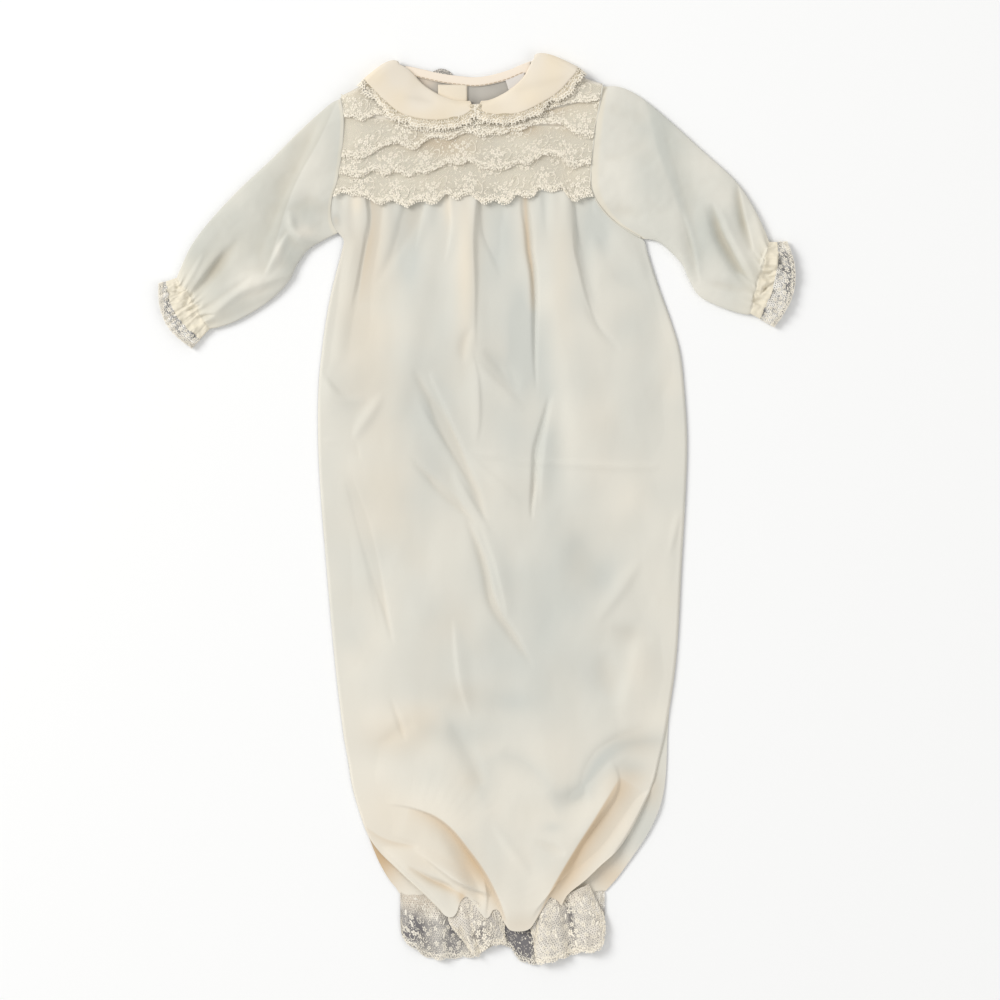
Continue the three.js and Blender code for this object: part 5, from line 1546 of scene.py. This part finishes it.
def hemLaceBehind():
    look = hemBackLook
    t, s = downAcross(40, 320)
    x = lerp(look["left"], look["right"], s)
    lobe = np.abs(np.sin(np.pi * look["lobes"] * s)) ** 0.8
    low = through([row[:2] for row in hemBack], x) + look["scallop"] / 2 - look["scallop"] * lobe
    y = lerp(x * 0 + backHem + 2, low, t)
    phase = look["waves"] * s + 0.3 * cloudy(s * 100, s * 0, 19, 130)
    wave = 0.5 - 0.5 * np.cos(2 * np.pi * phase)
    ridge = look["ridge"] * np.exp(-(((x + 29 - 6 * t) / 4.5) ** 2)) * ramp(t, 0.05, 0.5)
    ruffle = through([(row[0], row[2]) for row in hemBack], x) * wave * t**1.2
    z = lerp(0.15, 0.9, ramp(t, 0.05, 0.2)) + ruffle + ridge + 0.25 * cloudy(x, y, 7, 131) * t
    x = x + 1.2 * cloudy(s * 100, t * 30, 16, 132) * t * ramp(s, 0, 0.08) * (1 - ramp(s, 0.92, 1))
    grid = np.stack([x, y, z], -1)
    # painted light and shade: warm shade along its top on the left, light on the ridge and the free edge,
    # shade lower down and in blotches; blue closes the holes
    warm = 0.35 * (1 - ramp(t, 0.2, 0.55)) * (1 - ramp(x, -34, -6))
    pale = 0.4 * np.exp(-(((x + 28 - 6 * t) / 5) ** 2)) + 0.25 * ramp(t, 0.82, 1) * (1 - ramp(x, 0, 10))
    dark = patches(x, y, hemBackShades)
    blotch = 0.32 * cloudy(x, y, 5, 135) * (1 - ramp(x, 6, 14))
    speckle = 0.25 * cloudy(x, y, 1.6, 136) * ramp(x, 6, 14)
    cool = 0.14 + 0.6 * ramp(t, 0.2, 0.55) + blotch * ramp(t, 0.15, 0.4) - pale + dark + speckle
    cool = cool.clip(0, 1)
    closing = lerp(0.9, 0.4 + 0.6 * cool, ramp(t, 0.1, 0.4))
    tall, tint = (backHem + 2 - low)[0], np.stack([warm, cool, closing], -1)
    sheet, length, heightAt = laceSheet("hemLaceBack", "hem_lace_back", grid, tall, hemNet, tint)
    # its threads get painted shade
    return hemMotifs("hemLaceBack", 134, sheet, length, heightAt, grid, (0.1, 0.5, 0.0), (0.46, 0.64))


def hemLaceAhead():
    look = hemFrontLook
    table = np.array(hemFront)
    s = np.linspace(0, 1, look["columns"])
    columns = [evenly(table[:, k], s) for k in range(6)]
    t = np.linspace(0, 1, 40)[:, None]
    lobe = np.abs(np.sin(np.pi * look["lobes"] * s)) ** 0.8
    grid = np.stack([lerp(columns[k], columns[k + 3], t) for k in range(3)], -1)
    down = np.stack([columns[3] - columns[0], columns[4] - columns[1]], -1)
    tall = np.hypot(*down.T)
    grid[..., :2] += (down / tall[:, None]) * (look["scallop"] * lobe)[:, None] * t[..., None] ** 3
    crimp = np.sin(2 * np.pi * (look["crimps"] * s + 0.8 * cloudy(s * 100, s * 0, 9, 141)))
    grid[..., 2] += look["crimp"] * crimp * (0.35 + t) + 0.4 * cloudy(grid[..., 0], grid[..., 1], 6, 142) * t
    # painted warm shade along its top under the skirt, and painted shade in places
    warm = np.clip(0.2 * (1 - ramp(t, 0, 0.3)) + 0.1 * cloudy(grid[..., 0], grid[..., 1], 9, 143), 0, 1)
    greyed = patches(grid[..., 0], grid[..., 1], hemFrontShades)
    cool = np.clip(0.12 + 0.3 * cloudy(grid[..., 0], grid[..., 1], 4, 145) + greyed, 0, 1)
    grid, tall = evenColumns(grid, tall, look["columns"])
    tint = np.stack([warm, cool, 0 * warm + 0.5], -1)
    sheet, length, heightAt = laceSheet("hemLaceFront", "hem_lace_front", grid, tall, denseNet, tint)
    return hemMotifs("hemLaceFront", 144, sheet, length, heightAt, grid, (0.03, 0.1, 0.0))


hemLaces = [hemLaceBehind(), hemLaceAhead()]


laceEndLook = {
    "left": -31, "right": -16, "foot": 293.5, "ends": 295.6, "top": 299.4, "level": 0.6, "wave": 0.4,
}


def laceEnd():  # the tuft of collar lace behind the neck
    look = laceEndLook
    r, c = downAcross(8, 60)
    high = lerp(look["ends"], look["top"], np.sin(np.pi * c) ** 0.8)
    z = look["level"] + look["wave"] * np.sin(c * 19) * (1 - r)
    grid = np.stack([lerp(look["left"], look["right"], c), lerp(high, look["foot"], r), z], -1)
    # painted shade: it lies in the dark behind the neck
    tall, tint = (high - look["foot"])[0], (0.05, 0.75, 0.4)
    sheet, length, heightAt = laceSheet("collarLaceEnd", "collar_lace_end", grid, tall, hemNet, tint)
    motifs = Motifs(150)
    motifs.scatter(length, 0.6, 6, 1.0)
    # its threads get painted shade
    return sheet, motifPiece("collarLaceEndMotifs", motifs, grid, length, heightAt, tint=(0.05, 0.5, 0.0))


laceEnds = laceEnd()
print("hem lace made")

stageLook = {
    "floor": colour(251, 251, 250), "roughness": 0.95, "reach": 4, "drop": 0.0004,
    "world": 0.56, "key": 112.0, "fill": 20.0,
}

floorMesh = bpy.data.meshes.new("floor")
reach, drop = stageLook["reach"], stageLook["drop"]
corners = [(x * reach, y * reach, -drop) for x, y in ((-1, -1), (1, -1), (1, 1), (-1, 1))]
floorMesh.from_pydata(corners, [], [(0, 1, 2, 3)])
floor = bpy.data.objects.new("floor", floorMesh)
scene.collection.objects.link(floor)
floorPaint = bpy.data.materials.new("floorPaint")
floorPaint.use_nodes = True
floorShader = floorPaint.node_tree.nodes["Principled BSDF"]
floorShader.inputs["Base Color"].default_value = stageLook["floor"]
floorShader.inputs["Roughness"].default_value = stageLook["roughness"]
floorMesh.materials.append(floorPaint)

world = bpy.data.worlds.new("studio")
scene.world = world
world.use_nodes = True
world.node_tree.nodes["Background"].inputs["Color"].default_value = (1, 1, 1, 1)
world.node_tree.nodes["Background"].inputs["Strength"].default_value = stageLook["world"]


def lamp(name, place, size, energy):  # a soft light turned to the gown
    light = bpy.data.lights.new(name, "AREA")
    light.size, light.energy = size, energy
    obj = bpy.data.objects.new(name, light)
    obj.location = place
    way = -np.array(place)
    tilt, turn = math.acos(-way[2] / np.linalg.norm(way)), math.atan2(way[1], way[0]) - math.pi / 2
    obj.rotation_euler = (tilt, 0, turn)
    scene.collection.objects.link(obj)


lamp("key", (-3.0, 1.6, 2.6), 1.9, stageLook["key"])
lamp("fill", (2.2, -1.4, 2.4), 2.4, stageLook["fill"])

cameraLook = {"place": (0.0163, 0.0061, 2.4), "frameWidth": 0.68, "sensor": 36}
camera = bpy.data.objects.new("camera", bpy.data.cameras.new("camera"))
scene.collection.objects.link(camera)
camera.location = cameraLook["place"]
camera.data.lens = cameraLook["sensor"] * cameraLook["place"][2] / cameraLook["frameWidth"]
camera.data.sensor_width = cameraLook["sensor"]
camera.data.clip_end = 20
camera.data.dof.use_dof = False
scene.camera = camera
scene.view_settings.view_transform = "Standard"
scene.view_settings.look = "None"

cuts = [  # piece, flat width, length and area, how it is held, what is under it, what is sewn on
    (skirt, 0.27, 0.5, 0.125, "gathered", [backPanel], []),
    (backPanel, 0.27, 0.485, 0.12, "laid", [], []),
    (yokeFront, 0.182, 0.086, 0.0125, "laid", [yokeLeft, yokeRight], []),
    (yokeLeft, 0.081, 0.084, 0.006, "laid", [], []),
    (yokeRight, 0.101, 0.087, 0.0078, "laid", [], []),
    (facing, 0.086, 0.018, 0.0006, "laid", [yokeLeft, yokeRight], [facingStitches]),
    (placket, 0.02, 0.118, None, "folded", [yokeLeft, yokeRight], []),
    (label, 0.013, 0.012, None, "laid", [yokeRight], []),
    (laceEnds[0], 0.015, 0.01, 0.00007, "laid", [], [laceEnds[1]]),
    (hemLaces[0][0], 0.15, 0.045, None, "gathered", [], [hemLaces[0][1]]),
    (hemLaces[1][0], 0.13, 0.045, 0.0038, "gathered", [hemLaces[0][0]], [hemLaces[1][1]]),
]
cuffCuts = {"left": (0.115, 0.01, 0.00095), "right": (0.12, 0.0135, 0.00155)}  # less of the left one shows
for side in ("left", "right"):
    back = yokeLeft if side == "left" else yokeRight
    edging, edgingThreads = collarLaces[side]
    cuff, cuffThreads = cuffLaces[side]
    cuts += [
        (collarPieces[side], 0.145, 0.036, 0.0037, "folded", [yokeFront, back], []),
        (edging, 0.165, 0.0105, 0.00115, "gathered", [yokeLaces[0][0]], [edgingThreads]),
        (sleevePieces[side], 0.21, 0.165, 0.0225, "gathered", [], [pipings[side]]),
        (cuff, *cuffCuts[side], "gathered", [], [cuffThreads]),
    ]
for lace, length, width in zip(yokeLaces, (0.178, 0.18, 0.177, 0.178), (0.0125, 0.014, 0.0232, 0.0258)):
    cuts.append((lace[0], length, width, None, "gathered", [yokeFront], [lace[1]]))
